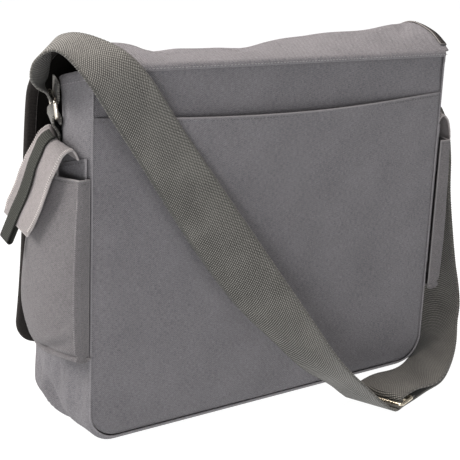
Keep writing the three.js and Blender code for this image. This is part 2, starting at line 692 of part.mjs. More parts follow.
function ringAt(side, tip) {
  const lean = vec(ring_lean.x * side, ring_lean.y, 0);
  const outward = vec(-side * ring_lean.y, ring_lean.x, 0);
  const rise = vec(0, 0, Math.cos(tip)).addScaledVector(outward, Math.sin(tip));
  const foot = vec(ring_foot.x * side, ring_foot.y, ring_foot.z);
  const head = foot.clone().addScaledVector(rise, 2 * bar_reach);
  return { lean, outward, rise, foot, head };
}

const left_ring = ringAt(1, 0.12);
const right_ring = ringAt(-1, 1.75);

function ringSolid(ring) {
  const centre = ring.foot.clone().add(ring.head).multiplyScalar(0.5);
  const facing = ring.lean.clone().cross(ring.rise).normalize();
  const bend = ring_wire * 0.8;
  const half_long = ring_inner_width / 2 + ring_wire / 2 - bend;
  const half_tall = ring_inner_height / 2 + ring_wire / 2 - bend;
  const corners = [[1, 1, 0], [-1, 1, 1], [-1, -1, 2], [1, -1, 3]];
  const path = [];
  corners.forEach(([a, b, quarter]) => {
    for (let k = 0; k <= 3; k += 1) {
      const turn = (quarter + k / 3) * Math.PI / 2;
      const out = ring.lean.clone().multiplyScalar(Math.cos(turn)).addScaledVector(ring.rise, Math.sin(turn));
      const p = centre.clone()
        .addScaledVector(ring.lean, a * half_long)
        .addScaledVector(ring.rise, b * half_tall)
        .addScaledVector(out, bend);
      path.push({ p, out });
    }
  });
  const wire_sides = 8;
  return sweep(path.map(({ p, out }) => Array.from({ length: wire_sides }, (_, k) => {
    const turn = k / wire_sides * 2 * Math.PI;
    return p.clone()
      .addScaledVector(out, ring_wire / 2 * Math.cos(turn))
      .addScaledVector(facing, -ring_wire / 2 * Math.sin(turn));
  })), true);
}

// Anchor tab: webbing sewn up the gusset, looped over the ring's lower bar and turned in behind
const tab_foot_drop = 8;
const tab_steps = 6;

function anchorTab(side) {
  const ring = ringAt(1, 0);
  const wall = strap_wall;
  const start = side_flap_root - tab_foot_drop;
  const tab_rise = ring.foot.z - start;
  const across = (u) => ring.lean.clone().multiplyScalar(strap_width * (u - 0.5));
  const climb = [0, 0.25, 0.5, 0.62, 0.74, 0.88];
  const loop = [0, 0.25, 0.5, 0.75, 1];
  const tail = [0.5, 1];
  const rows = [
    ...climb.map((t) => ({ part: 'climb', t })),
    ...loop.map((t) => ({ part: 'loop', t })),
    ...tail.map((t) => ({ part: 'tail', t })),
  ];
  const place = (u, v) => {
    const row = rows[Math.round(v * (rows.length - 1))];
    const bar = ring.foot.clone().add(across(u));
    if (row.part === 'climb') {
      const z = start + tab_rise * row.t;
      const y = ring_depth + ring.lean.y * strap_width * (u - 0.5);
      const low = gussetFace(y, z, cloth_seat + tab_ease + wall / 2);
      const high = bar.clone().addScaledVector(ring.outward, wrap_radius);
      const blend = smooth(0.52, 0.88, row.t);
      return vec(mix(low.x, high.x, blend), mix(low.y, high.y, blend), z);
    }
    const turn = row.part === 'loop' ? row.t * Math.PI : Math.PI;
    const down = row.part === 'tail' ? row.t * tab_turn_in : 0;
    return bar
      .addScaledVector(ring.outward, wrap_radius * Math.cos(turn))
      .addScaledVector(vec(0, 0, 1), wrap_radius * Math.sin(turn) - down);
  };
  const sheet = clothSheet(place, wall, tab_steps, rows.map((_, k) => k / (rows.length - 1)), 0);
  return side > 0 ? sheet : mirrored(sheet);
}

// Slider: a plate with two slots and a bar between them, above the strap on the floor
const strap_floor = strap_wall / 2 + seam_gap;
const fold_radius = slider_bar * 0.7072 + seam_gap + strap_wall / 2;
const slider_height = strap_floor + strap_wall + seam_gap + fold_radius;
const slider_route = strap_route[slider_row];
const slider_place = vec(slider_route.x * half_width, slider_route.y * half_depth, slider_height);
const slider_lean = vec(slider_route.lean_x, slider_route.lean_y, 0).normalize();
const slider_ahead = vec(-slider_lean.y, slider_lean.x, 0);

function sliderSolid() {
  const outline = new THREE.Shape();
  const long = slider_length / 2;
  const wide = slider_width / 2;
  const corner = 4;
  outline.moveTo(-long + corner, -wide);
  outline.lineTo(long - corner, -wide);
  outline.absarc(long - corner, -wide + corner, corner, -Math.PI / 2, 0, false);
  outline.lineTo(long, wide - corner);
  outline.absarc(long - corner, wide - corner, corner, 0, Math.PI / 2, false);
  outline.lineTo(-long + corner, wide);
  outline.absarc(-long + corner, wide - corner, corner, Math.PI / 2, Math.PI, false);
  outline.lineTo(-long, -wide + corner);
  outline.absarc(-long + corner, -wide + corner, corner, Math.PI, Math.PI * 1.5, false);
  [-1, 1].forEach((side) => {
    const near = side * slider_bar / 2;
    const far = side * (slider_bar / 2 + slider_slot);
    const end = strap_width / 2 + 1;
    const slot = new THREE.Path();
    slot.moveTo(-end, Math.min(near, far));
    slot.lineTo(end, Math.min(near, far));
    slot.lineTo(end, Math.max(near, far));
    slot.lineTo(-end, Math.max(near, far));
    slot.closePath();
    outline.holes.push(slot);
  });
  const plate = new THREE.ExtrudeGeometry(outline, { depth: slider_wall, bevelEnabled: false, curveSegments: 4 });
  plate.translate(0, 0, -slider_wall / 2);
  return plate;
}

// The strap as one length of webbing
function routeCentre(row) {
  return vec(row.x * half_width, row.y * half_depth, row.z * bag_height);
}

function strapStations() {
  const centres = [];
  const leans = [];
  const left_side = left_ring.outward;
  const wrap_steps = 4;
  const put = (centre, lean) => {
    centres.push(centre);
    leans.push(lean);
  };
  const sewn = left_ring.head.clone().addScaledVector(left_side, -wrap_radius);
  put(sewn.clone().add(vec(0, 0, strap_tail)), left_ring.lean.clone());
  for (let k = 0; k <= wrap_steps; k += 1) {
    const turn = Math.PI + k / wrap_steps * Math.PI;
    put(left_ring.head.clone()
      .addScaledVector(left_side, wrap_radius * Math.cos(turn))
      .add(vec(0, 0, wrap_radius * Math.sin(turn))), left_ring.lean.clone());
  }
  const rows = strap_route.map((row) => ({
    centre: routeCentre(row),
    lean: vec(row.lean_x, row.lean_y, row.lean_z).normalize(),
  }));
  rows.forEach((row, k) => {
    if (k >= slider_row && k <= slider_row + 2) row.centre.z = strap_floor;
    put(row.centre, row.lean);
  });
  return { centres, leans, rows };
}

function smoothRoute(centres, leans, from, to, per) {
  const path = new THREE.CatmullRomCurve3(centres, false, 'centripetal');
  const across = new THREE.CatmullRomCurve3(leans.map((l) => l.clone()), false, 'catmullrom', 0.5);
  const last = centres.length - 1;
  const list = [];
  for (let k = from; k < to; k += 1) {
    for (let m = 0; m < per; m += 1) {
      const t = (k + m / per) / last;
      list.push({ centre: path.getPoint(t), lean: across.getPoint(t).normalize() });
    }
  }
  list.push({ centre: path.getPoint(to / last), lean: across.getPoint(to / last).normalize() });
  return list;
}

const strap = strapStations();
const first_rows = strap.centres.length - strap.rows.length;
const strap_main = [
  ...strap.centres.slice(0, first_rows).map((centre, k) => ({ centre, lean: strap.leans[k] })),
  ...smoothRoute(strap.centres, strap.leans, first_rows, strap.centres.length - 1, 2),
];
strap_main.forEach((station) => {
  station.centre.z = Math.max(station.centre.z, strap_floor + Math.abs(station.lean.z) * strap_width / 2);
});

// Up to the right ring, over its outer bar, and back down inside the first layer to the slider
const right_lean = right_ring.lean.clone().multiplyScalar(-1);
const right_pull = strap_main[strap_main.length - 1].centre.clone().sub(right_ring.head);
right_pull.addScaledVector(right_lean, -right_pull.dot(right_lean)).normalize();
const right_side = right_lean.clone().cross(right_pull).normalize();
const right_wrap_steps = 6;
const right_wrap = [];
for (let k = 0; k <= right_wrap_steps; k += 1) {
  const turn = k / right_wrap_steps * Math.PI;
  right_wrap.push({
    centre: right_ring.head.clone()
      .addScaledVector(right_side, wrap_radius * Math.cos(turn))
      .addScaledVector(right_pull, -wrap_radius * Math.sin(turn)),
    lean: right_lean.clone(),
  });
}
const layer_step = strap_wall + seam_gap;
const rise_stations = strap_main.slice(first_rows + slider_row * 2 + 2);
const normals = rise_stations.map((station, k) => {
  const before = rise_stations[Math.max(k - 1, 0)].centre;
  const after = rise_stations[Math.min(k + 1, rise_stations.length - 1)].centre;
  return station.lean.clone().cross(after.clone().sub(before)).normalize();
});
const strap_back = rise_stations.map((station, k) => {
  const away = station.centre.distanceTo(vec(slider_place.x, slider_place.y, strap_floor));
  const lift = slider_height + fold_radius - strap_floor - layer_step + seam_gap;
  const extra = lift * (1 - smooth(slider_width * 0.6, strap_sewn_end * 1.8, away));
  const seat = layer_step + extra + seam_gap * 0.25;
  return {
    centre: station.centre.clone().addScaledVector(normals[k], seat),
    lean: station.lean.clone(),
    returning: true,
  };
}).reverse();
const fold = [];
const fold_steps = 5;
const back_bar = slider_width / 2;
fold.push({
  centre: slider_place.clone().addScaledVector(slider_ahead, back_bar).add(vec(0, 0, fold_radius)),
  lean: slider_lean.clone(),
});
for (let k = 0; k <= fold_steps; k += 1) {
  const turn = Math.PI / 2 + k / fold_steps * Math.PI;
  fold.push({
    centre: slider_place.clone()
      .addScaledVector(slider_ahead, fold_radius * Math.cos(turn))
      .add(vec(0, 0, fold_radius * Math.sin(turn))),
    lean: slider_lean.clone(),
  });
}
fold.push({
  centre: slider_place.clone().addScaledVector(slider_ahead, strap_sewn_end * 0.6).add(vec(0, 0, -fold_radius)),
  lean: slider_lean.clone(),
});

const shoulderStrap = webbing([...strap_main, ...right_wrap, ...strap_back, ...fold], strap_width, strap_wall);

// Finishes
const canvas = () => new THREE.MeshStandardMaterial({ color: 0x6b686b, roughness: 0.95, metalness: 0 });
const canvasLight = () => new THREE.MeshStandardMaterial({ color: 0x8f8a88, roughness: 0.95, metalness: 0 });
const liningCloth = () => new THREE.MeshStandardMaterial({ color: 0x14110f, roughness: 0.9, metalness: 0 });
const bindingTape = () => new THREE.MeshStandardMaterial({ color: 0x34302e, roughness: 0.9, metalness: 0 });
const heavyWebbing = () => new THREE.MeshStandardMaterial({ color: 0x66645c, roughness: 0.85, metalness: 0 });
const pullTape = () => new THREE.MeshStandardMaterial({ color: 0x55574f, roughness: 0.85, metalness: 0 });
const hookTape = () => new THREE.MeshStandardMaterial({ color: 0x0d0d0d, roughness: 1, metalness: 0 });
const nickel = () => new THREE.MeshStandardMaterial({ color: 0xb9b4aa, roughness: 0.3, metalness: 1 });

const bag = new THREE.Group();

function add(name, geometry, material, parent = bag) {
  const mesh = new THREE.Mesh(geometry, material);
  mesh.name = name;
  parent.add(mesh);
  return mesh;
}

add('gusset', gusset, canvas());
add('back_panel', backPanel, canvas());
add('front_panel', frontPanel, canvas());
add('back_slip_pocket', slipPocket, canvas());
add('flap', flap, canvas());
add('flap_lining', flapLining, liningCloth());
add('flap_binding', flapBinding, bindingTape());
[['left', 1], ['right', -1]].forEach(([name, side]) => {
  const place = (geometry) => (side > 0 ? geometry : mirrored(geometry));
  add(`side_pocket_${name}`, place(sidePocket), canvasLight());
  add(`side_pocket_back_${name}`, place(sidePocketBack), canvas());
  add(`side_flap_${name}`, place(sideFlap), canvasLight());
  add(`pull_webbing_${name}`, place(pullWebbing), pullTape());
  add(`hook_patch_${name}`, place(hookPatch), hookTape());
  add(`anchor_tab_${name}`, anchorTab(side), heavyWebbing());
});
add('ring_left', ringSolid(left_ring), nickel());
add('ring_right', ringSolid(right_ring), nickel());
add('shoulder_strap', shoulderStrap, heavyWebbing());
const sliderMesh = add('slider', sliderSolid(), nickel());
sliderMesh.position.copy(slider_place);
sliderMesh.rotation.z = Math.atan2(slider_lean.y, slider_lean.x);

export default bag;
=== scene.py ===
import math

import bpy
import numpy as np
from mathutils import Matrix, Vector


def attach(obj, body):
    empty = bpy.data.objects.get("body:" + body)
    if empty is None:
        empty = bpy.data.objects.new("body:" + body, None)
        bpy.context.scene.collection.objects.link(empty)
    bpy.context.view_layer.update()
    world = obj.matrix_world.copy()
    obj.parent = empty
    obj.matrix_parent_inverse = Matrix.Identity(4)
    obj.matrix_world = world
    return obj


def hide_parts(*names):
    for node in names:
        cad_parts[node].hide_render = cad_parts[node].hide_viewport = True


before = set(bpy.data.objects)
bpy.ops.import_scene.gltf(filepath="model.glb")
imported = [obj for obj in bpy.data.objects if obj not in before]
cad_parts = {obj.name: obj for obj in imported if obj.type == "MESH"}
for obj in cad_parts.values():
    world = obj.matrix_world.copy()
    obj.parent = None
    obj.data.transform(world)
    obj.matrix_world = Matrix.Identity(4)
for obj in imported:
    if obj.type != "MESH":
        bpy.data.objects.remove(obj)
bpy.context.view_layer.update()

scene = bpy.context.scene

# The studio: a seamless white floor that glows like a lit sweep, and a camera behind the bag's left corner.
# A broad light hangs on the side of the strap's arch, softer ones above and low down,
# and the room fills the rest.
eye = Vector((0.645, 0.853, 0.446))
look_turn = math.radians(143.3)
look_down = math.radians(15.3)
look_roll = math.radians(2.45)
focal_pixels = 1140
frame_pixels = 460
sensor_width = 36
floor_half = 15.0
floor_drop = 0.0005
sight = Vector((
    -math.sin(look_turn) * math.cos(look_down),
    math.cos(look_turn) * math.cos(look_down),
    -math.sin(look_down),
))
level = sight.cross(Vector((0, 0, 1))).normalized()
upright = level.cross(sight)
camera_right = level * math.cos(look_roll) + upright * math.sin(look_roll)
camera_up = upright * math.cos(look_roll) - level * math.sin(look_roll)
camera = bpy.data.objects.new("camera", bpy.data.cameras.new("camera"))
camera.matrix_world = Matrix((
    (camera_right.x, camera_up.x, -sight.x, eye.x),
    (camera_right.y, camera_up.y, -sight.y, eye.y),
    (camera_right.z, camera_up.z, -sight.z, eye.z),
    (0, 0, 0, 1),
))
camera.data.sensor_width = sensor_width
camera.data.lens = focal_pixels / frame_pixels * sensor_width
camera.data.clip_end = 100
scene.collection.objects.link(camera)
scene.camera = camera
scene.view_settings.view_transform = "Standard"

floor_mesh = bpy.data.meshes.new("floor")
floor_mesh.from_pydata(
    [(x * floor_half, y * floor_half, -floor_drop) for x, y in ((-1, -1), (1, -1), (1, 1), (-1, 1))],
    [], [(0, 1, 2, 3)],
)
floor = bpy.data.objects.new("floor", floor_mesh)
scene.collection.objects.link(floor)


class Value:
    """A socket of a shader, so that sums on it read as sums."""

    def __init__(self, finish, socket):
        self.finish = finish
        self.socket = socket

    def worked(self, operation, first, second):
        return self.finish.node("ShaderNodeMath", {"operation": operation}, {0: first, 1: second})

    def __add__(self, other):
        return self.worked("ADD", self, other)

    def __radd__(self, other):
        return self.worked("ADD", other, self)

    def __sub__(self, other):
        return self.worked("SUBTRACT", self, other)

    def __rsub__(self, other):
        return self.worked("SUBTRACT", other, self)

    def __mul__(self, other):
        return self.worked("MULTIPLY", self, other)

    def __rmul__(self, other):
        return self.worked("MULTIPLY", other, self)

    def __truediv__(self, other):
        return self.worked("DIVIDE", self, other)

    def __pow__(self, other):
        return self.worked("POWER", self, other)


class Finish:
    """A material, built up node by node."""

    def __init__(self, name):
        self.material = bpy.data.materials.new(name)
        self.material.use_nodes = True
        self.tree = self.material.node_tree
        self.tree.nodes.clear()

    def node(self, kind, settings=None, sockets=None, out=0):
        """Adds a node: its settings first, then the values or links of its sockets."""
        made = self.tree.nodes.new(kind)
        for key, value in (settings or {}).items():
            if key == "stops":
                while len(made.color_ramp.elements) < len(value):
                    made.color_ramp.elements.new(1)
                for stop, (place, colour) in zip(made.color_ramp.elements, value):
                    stop.position = place
                    stop.color = colour
            else:
                setattr(made, key, value)
        for key, value in (sockets or {}).items():
            if isinstance(value, Value):
                self.tree.links.new(value.socket, made.inputs[key])
            else:
                made.inputs[key].default_value = value
        return Value(self, made.outputs[out] if len(made.outputs) else None)

    def step(self, value, low, high, start=0.0, end=1.0):
        """value taken smoothly from start to end while it goes from low to high."""
        return self.node(
            "ShaderNodeMapRange", {"interpolation_type": "SMOOTHSTEP"},
            {"Value": value, "From Min": low, "From Max": high, "To Min": start, "To Max": end},
        )

    def blend(self, share, first, second):
        """One colour over another by a share from 0 to 1."""
        return self.node(
            "ShaderNodeMix", {"data_type": "RGBA"}, {0: share, 6: first, 7: second}, out=2,
        )

    def stretched(self, place, across, along):
        """A place on the cloth with its two directions scaled."""
        return self.node(
            "ShaderNodeVectorMath", {"operation": "MULTIPLY"}, {0: place, 1: (across, along, 1.0)},
        )

    def noise(self, place, scale, detail=2.0, roughness=0.5):
        return self.node(
            "ShaderNodeTexNoise", {},
            {"Vector": place, "Scale": scale, "Detail": detail, "Roughness": roughness},
        )

    def surface(self, colour, roughness, metallic=0.0, height=None, relief=0.0005, sheen=0.0, gloss=0.5):
        """Ends the material with one shader, its relief pressed in from a height."""
        sockets = {"Base Color": colour, "Roughness": roughness, "Metallic": metallic, "Sheen Weight": sheen,
                   "Specular IOR Level": gloss}
        if height is not None:
            sockets["Normal"] = self.node(
                "ShaderNodeBump", {}, {"Height": height, "Strength": 0.8, "Distance": relief},
            )
        shader = self.node("ShaderNodeBsdfPrincipled", {}, sockets)
        self.node("ShaderNodeOutputMaterial", {}, {"Surface": shader})
        return self.material


def floor_finish():
    finish = Finish("studio_floor")
    white = finish.node("ShaderNodeEmission", {}, {"Color": (1, 1, 1, 1), "Strength": 1.12})
    matt = finish.node("ShaderNodeBsdfDiffuse", {}, {"Color": (0.9, 0.9, 0.9, 1)})
    glow = finish.node("ShaderNodeMixShader", {}, {"Fac": 0.13, 1: white, 2: matt})
    finish.node("ShaderNodeOutputMaterial", {}, {"Surface": glow})
    return finish.material


floor.data.materials.append(floor_finish())

room = bpy.data.worlds.new("room")
room.use_nodes = True
room.node_tree.nodes["Background"].inputs["Color"].default_value = (1.0, 1.0, 1.0, 1)
room.node_tree.nodes["Background"].inputs["Strength"].default_value = 0.33
scene.world = room


def soft_light(name, place, size, power, aim, colour=(1, 1, 1)):
    """A square window of light that faces a point of the bag."""
    lamp = bpy.data.lights.new(name, "AREA")
    lamp.shape = "SQUARE"
    lamp.size = size
    lamp.energy = power
    lamp.color = colour
    holder = bpy.data.objects.new(name, lamp)
    holder.location = place
    holder.rotation_euler = (Vector(aim) - Vector(place)).to_track_quat("-Z", "Y").to_euler()
    scene.collection.objects.link(holder)


soft_light("key_light", (1.55, -0.55, 1.25), 0.9, 44, (0.1, 0.0, 0.12), (1.0, 0.965, 0.94))
soft_light("fill_light", (-0.6, 2.2, 1.2), 1.6, 4.2, (0.0, 0.0, 0.15), (0.95, 0.97, 1.0))
soft_light("top_light", (0.2, -0.1, 2.1), 1.2, 54, (0.0, 0.0, 0.3), (1.0, 0.92, 0.87))
soft_light("low_light", (1.15, 1.25, 0.15), 0.6, 13, (0.15, 0.06, 0.0), (0.98, 0.98, 1.0))

# The gusset: one long band of grey canvas that runs down one side, under the base and up the other.
# Its back edge is seamed to the back, its front edge to the front, and its two top ends are hemmed.
mm = 0.001
bag_width = 400.0
bag_height = 327.0
bag_depth = 130.0
corner_radius = 28.0
seam_rise = 4.0
canvas_wall = 1.8
seam_gap = 0.4
gusset_top_drop = 24.0
front_top_drop = 33.0
front_ease = 0.8
gusset_ridge = 6.0
gusset_fold = 3.5
half_width = bag_width / 2
half_depth = bag_depth / 2


def rows(names, *lines):
    """A short table: the names of its columns, then its rows."""
    return [dict(zip(names.split(), line)) for line in lines]


def curve(table, key, column, at):
    """The smooth line through a table's rows, read at any place."""
    keys = np.array([row[key] for row in table], float)
    values = np.array([row[column] for row in table], float)
    last = len(keys) - 1
    order = np.arange(last + 1)
    before = np.maximum(order - 1, 0)
    after = np.minimum(order + 1, last)
    slope = (values[after] - values[before]) / (keys[after] - keys[before])
    at = np.asarray(at, float)
    k = np.clip(np.searchsorted(keys, at, side="left") - 1, 0, last - 1)
    step = keys[k + 1] - keys[k]
    t = np.clip((at - keys[k]) / step, 0, 1)
    rise = values[k + 1] - values[k]
    bend = (t ** 3 - 2 * t ** 2 + t) * slope[k] + (t ** 3 - t ** 2) * slope[k + 1]
    return values[k] + (3 * t ** 2 - 2 * t ** 3) * rise + bend * step


def ease(x, low, high):
    t = np.clip((x - low) / (high - low), 0, 1)
    return t * t * (3 - 2 * t)


def unit(v):
    return v / np.maximum(np.linalg.norm(v, axis=-1, keepdims=True), 1e-9)


def sway(a, b, long, tall, turn=0.0):
    """The uneven swell of soft cloth: three crossing waves of about one length."""
    waves = ((1.0, 0.35, 0.2), (-0.6, 0.9, 1.7), (0.35, -1.25, 3.9))
    total = sum(np.sin(2 * np.pi * (p * a + q * b) / long + r + turn) for p, q, r in waves)
    return tall * total / len(waves)


def folds(table, a, b):
    """Height of the creases of a table at places a, b on a cloth. Each row is one crease's line."""
    height = np.zeros(np.broadcast(a, b).shape)
    for fold in table:
        run_a = fold["to_a"] - fold["from_a"]
        run_b = fold["to_b"] - fold["from_b"]
        t = ((a - fold["from_a"]) * run_a + (b - fold["from_b"]) * run_b) / (run_a ** 2 + run_b ** 2)
        held = np.clip(t, 0, 1)
        off_a = a - fold["from_a"] - held * run_a
        off_b = b - fold["from_b"] - held * run_b
        away = np.sqrt(off_a ** 2 + off_b ** 2)
        fade = 0.25 + 0.75 * np.sin(np.pi * np.clip(held, 0.02, 0.98)) ** 0.7
        height = height + fold["tall"] * fade * np.exp(-(away / fold["wide"]) ** 2)
    return height


def made(name, points, faces, marks=None):
    """A mesh object from points in millimetres, smooth, with its marks kept on its points."""
    mesh = bpy.data.meshes.new(name)
    mesh.from_pydata((np.asarray(points) * mm).tolist(), [], [list(face) for face in faces])
    for key, (kind, values) in (marks or {}).items():
        mark = mesh.attributes.new(key, kind, "POINT")
        field = "vector" if kind == "FLOAT_VECTOR" else "value"
        mark.data.foreach_set(field, np.asarray(values, np.float32).ravel())
    mesh.validate()
    mesh.shade_smooth()
    piece = bpy.data.objects.new(name, mesh)
    scene.collection.objects.link(piece)
    return piece


def cloth(name, grid, wall, seat=0.0, lip=0.35):
    """A closed wall of cloth over a grid of points, its edges rolled over. seat 0 puts the grid in
    the middle of the wall, 1 grows the wall along the grid's normal and -1 against it."""
    tall, wide = grid.shape[:2]
    normal = unit(np.cross(np.gradient(grid, axis=1), np.gradient(grid, axis=0)))
    front = grid + normal * wall * (1 + seat) / 2
    back = grid - normal * wall * (1 - seat) / 2
    outward = np.zeros_like(grid)
    outward[0] += unit(grid[0] - grid[1])
    outward[-1] += unit(grid[-1] - grid[-2])
    outward[:, 0] += unit(grid[:, 0] - grid[:, 1])
    outward[:, -1] += unit(grid[:, -1] - grid[:, -2])
    order = np.arange(tall * wide).reshape(tall, wide)
    rim = np.concatenate([order[0, :-1], order[:-1, -1], order[-1, :0:-1], order[:0:-1, 0]])
    flat = lambda field: field.reshape(tall * wide, -1)
    turned = flat((front + back) / 2)[rim] + flat(unit(outward))[rim] * wall * lip
    behind = tall * wide
    middle = 2 * behind
    a, b, c, d = order[:-1, :-1], order[:-1, 1:], order[1:, 1:], order[1:, :-1]
    faces = np.concatenate([
        np.stack([a, b, c, d], -1).reshape(-1, 4),
        np.stack([a, d, c, b], -1).reshape(-1, 4) + behind,
    ])
    on = np.arange(len(rim))
    following = np.roll(on, -1)
    faces = np.concatenate([
        faces,
        np.stack([rim[following], rim, middle + on, middle + following], -1),
        np.stack([middle + following, middle + on, rim + behind, rim[following] + behind], -1),
    ])
    across = np.zeros((tall, wide))
    across[:, 1:] = np.cumsum(np.linalg.norm(np.diff(grid, axis=1), axis=2), axis=1)
    across -= across[:, wide // 2][:, None]
    along = np.zeros((tall, wide))
    along[1:] = np.cumsum(np.linalg.norm(np.diff(grid, axis=0), axis=2), axis=0)
    edge = np.minimum(
        np.minimum(across - across[:, :1], across[:, -1:] - across),
        np.minimum(along, along[-1:] - along),
    )
    place = flat(np.stack([across, along, np.zeros_like(across)], -1))
    points = np.concatenate([flat(front), flat(back), turned])
    edges = flat(edge)
    return made(name, points, faces, {
        "cloth": ("FLOAT_VECTOR", np.concatenate([place, place, place[rim]])),
        "edge": ("FLOAT", np.concatenate([edges, edges, edges[rim]])),
    })


def canvas_finish(name, dark, light, wear_and_shade_colour, slub=1.0):
    """Washed plain-woven canvas: uneven threads both ways, a mottled wash and paler edges."""
    finish = Finish(name)
    place = finish.node("ShaderNodeAttribute", {"attribute_name": "cloth"}, out="Vector")
    edge = finish.node("ShaderNodeAttribute", {"attribute_name": "edge"}, out="Fac")
    weft = finish.noise(finish.stretched(place, 0.28, 1.7), 1.0, 3.0, 0.7)
    warp = finish.noise(finish.stretched(place, 1.9, 0.20), 1.0, 3.0, 0.7)
    fleck = finish.noise(place, 1.1, 2.0, 0.7)
    wash = finish.noise(place, 0.022, 3.0, 0.55)
    parts = finish.node("ShaderNodeSeparateXYZ", {}, {"Vector": place})
    parts_y = Value(finish, parts.socket.node.outputs["Y"])
    over = finish.node("ShaderNodeMath", {"operation": "SINE"}, {0: parts * 3.9})
    under = finish.node("ShaderNodeMath", {"operation": "SINE"}, {0: parts_y * 3.6})
    thread = over * under
    tone = (weft - 0.5) * (1.5 * slub) + (warp - 0.5) * (1.0 * slub) + (fleck - 0.5) * 0.4
    tone = tone + (wash - 0.5) * 0.35 + thread * 0.30 + 0.5
    shade = finish.blend(finish.step(tone, 0.0, 1.0), dark, light)
    wear_and_shade_share = finish.step(edge + (fleck - 0.5) * 1.2, 0.1, 1.2, 0.6, 0.0)
    shade = finish.blend(wear_and_shade_share, shade, wear_and_shade_colour)
    height = thread * 0.5 + (weft + warp + fleck) * 0.6
    return finish.surface(shade, 0.93, height=height, relief=0.0007, sheen=0.05, gloss=0.3)


canvas = canvas_finish("canvas", (0.082, 0.079, 0.086, 1), (0.245, 0.236, 0.248, 1), (0.25, 0.24, 0.25, 1))

side_profile = rows(
    "height front drawn_in ridge",
    (0.00, -0.225, 0.000, 0.0),
    (0.05, -0.268, 0.002, 0.1),
    (0.10, -0.290, 0.005, 0.3),
    (0.18, -0.288, 0.010, 0.5),
    (0.33, -0.275, 0.020, 0.6),
    (0.51, -0.260, 0.045, 0.6),
    (0.70, -0.245, 0.100, 0.8),
    (0.82, -0.235, 0.140, 1.0),
    (0.90, -0.228, 0.135, 1.0),
    (0.96, -0.224, 0.095, 1.0),
    (1.00, -0.222, 0.070, 1.0),
)
gusset_folds = rows("across size", (0.30, 0.8), (0.52, -1.0), (0.72, 0.9))
under_pocket_folds = rows(
    "from_a from_b to_a to_b wide tall",
    (-21, 44, 7, 9, 3.6, 4.6),
    (-11, 44, 16, 9, 3.4, -5.0),
    (-31, 52, -10, 22, 5.0, -2.4),
    (42, 80, 34, 14, 6.0, 2.8),
    (29, 78, 21, 22, 5.0, -3.0),
    (14, 78, 4, 44, 5.0, 2.2),
    (-4, 82, -16, 58, 5.0, -2.0),
    (58, 84, 53, 30, 4.0, -1.8),
)


def front_seam(z):
    return bag_depth * curve(side_profile, "height", "front", z / bag_height)


def drawn_in(z):
    return half_width * curve(side_profile, "height", "drawn_in", z / bag_height)


def gusset_swell(across, z):
    """How far the side stands from its plain outline, at a share across its depth."""
    ridge = gusset_ridge * curve(side_profile, "height", "ridge", z / bag_height)
    soft = sum(row["size"] * np.exp(-((across - row["across"]) / 0.07) ** 2) for row in gusset_folds)
    low = ease(z / bag_height, 0.03, 0.12) * (1 - ease(z / bag_height, 0.2, 0.3))
    return ridge * np.sin(np.pi * across) + gusset_fold * soft * low - drawn_in(z) * ease(across, 0.32, 1)


def gusset_face(y, z, stand=0.0):
    """Points on the outer face of the left side."""
    across = np.clip((half_depth - y) / (half_depth - front_seam(z)), 0, 1)
    x = half_width + gusset_swell(across, z) + stand
    return np.stack(np.broadcast_arrays(x, y, z), -1)


def band_outline(t):
    """The band's line seen from the back, by the length run from its left top end."""
    straight = bag_height - corner_radius
    arc = corner_radius * np.pi / 2
    total = 2 * (straight + arc) + bag_width - 2 * corner_radius
    side = np.where(t < total / 2, 1.0, -1.0)
    run = np.minimum(t, total - t)
    turn = np.clip((run - straight) / corner_radius, 0, np.pi / 2)
    x = half_width - corner_radius * (1 - np.cos(turn)) - np.maximum(run - straight - arc, 0)
    z = np.where(run < straight, bag_height - run, corner_radius * (1 - np.sin(turn)))
    return x * side, z, np.cos(turn) * side, -np.sin(turn)


band_length = 2 * (bag_height - corner_radius) + corner_radius * np.pi + bag_width - 2 * corner_radius
band_across = np.concatenate([
    np.linspace(0, 0.06, 7), np.linspace(0.085, 0.88, 36), np.linspace(0.9, 1, 6),
])
A, T = np.meshgrid(band_across, np.linspace(0, band_length, 340))
line_x, line_z, face_x, face_z = band_outline(T)
band_z = line_z - gusset_top_drop * A * ease(line_z / bag_height, 0.4, 1)
band_y = (1 - A) * half_depth + A * front_seam(band_z)
seam = np.maximum(np.maximum(1 - A / 0.06, (A - 0.88) / 0.12), 0)
swell = gusset_swell(A, band_z) * np.abs(face_x) - seam_rise * seam * np.abs(face_z)
creased = folds(under_pocket_folds, band_y, band_z) * np.abs(face_x) * ease(band_y, 64, 58)
swell = swell + creased + sway(band_y, band_z, 70, 0.5) * np.abs(face_x) * np.sin(np.pi * A)
swell = swell - 1.1 * np.exp(-((half_depth - band_y) / 2.2) ** 2) * np.abs(face_x)
hem_roll = 0.5 * (1 - ease(np.minimum(T, band_length - T), 9, 11))
swell = swell + hem_roll
grid = np.stack([line_x + face_x * swell, band_y, band_z + face_z * swell], -1)
gusset = cloth("gusset_canvas", grid, canvas_wall, seat=-1)


def fitted(piece, finish, slot, *nodes):
    """Gives a piece its finish and its place on the bag, and hides the plain solids that it stands for."""
    piece.data.materials.append(finish)
    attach(piece, "root")
    if nodes:
        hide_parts(*nodes)
    return piece


fitted(gusset, canvas, "canvas", "gusset")


def thread_finish(name, dark, light):
    """Twisted sewing thread."""
    finish = Finish(name)
    place = finish.node("ShaderNodeTexCoord", {}, out="Object")
    twist = finish.noise(place, 900.0, 2.0, 0.6)
    shade = finish.blend(twist, dark, light)
    return finish.surface(shade, 0.75, height=twist, relief=0.0001, sheen=0.1)


grey_thread = thread_finish("grey_thread", (0.17, 0.16, 0.165, 1), (0.40, 0.385, 0.39, 1))
dark_thread = thread_finish("dark_thread", (0.03, 0.028, 0.026, 1), (0.09, 0.085, 0.08, 1))
pale_thread = thread_finish("pale_thread", (0.28, 0.26, 0.255, 1), (0.58, 0.545, 0.53, 1))


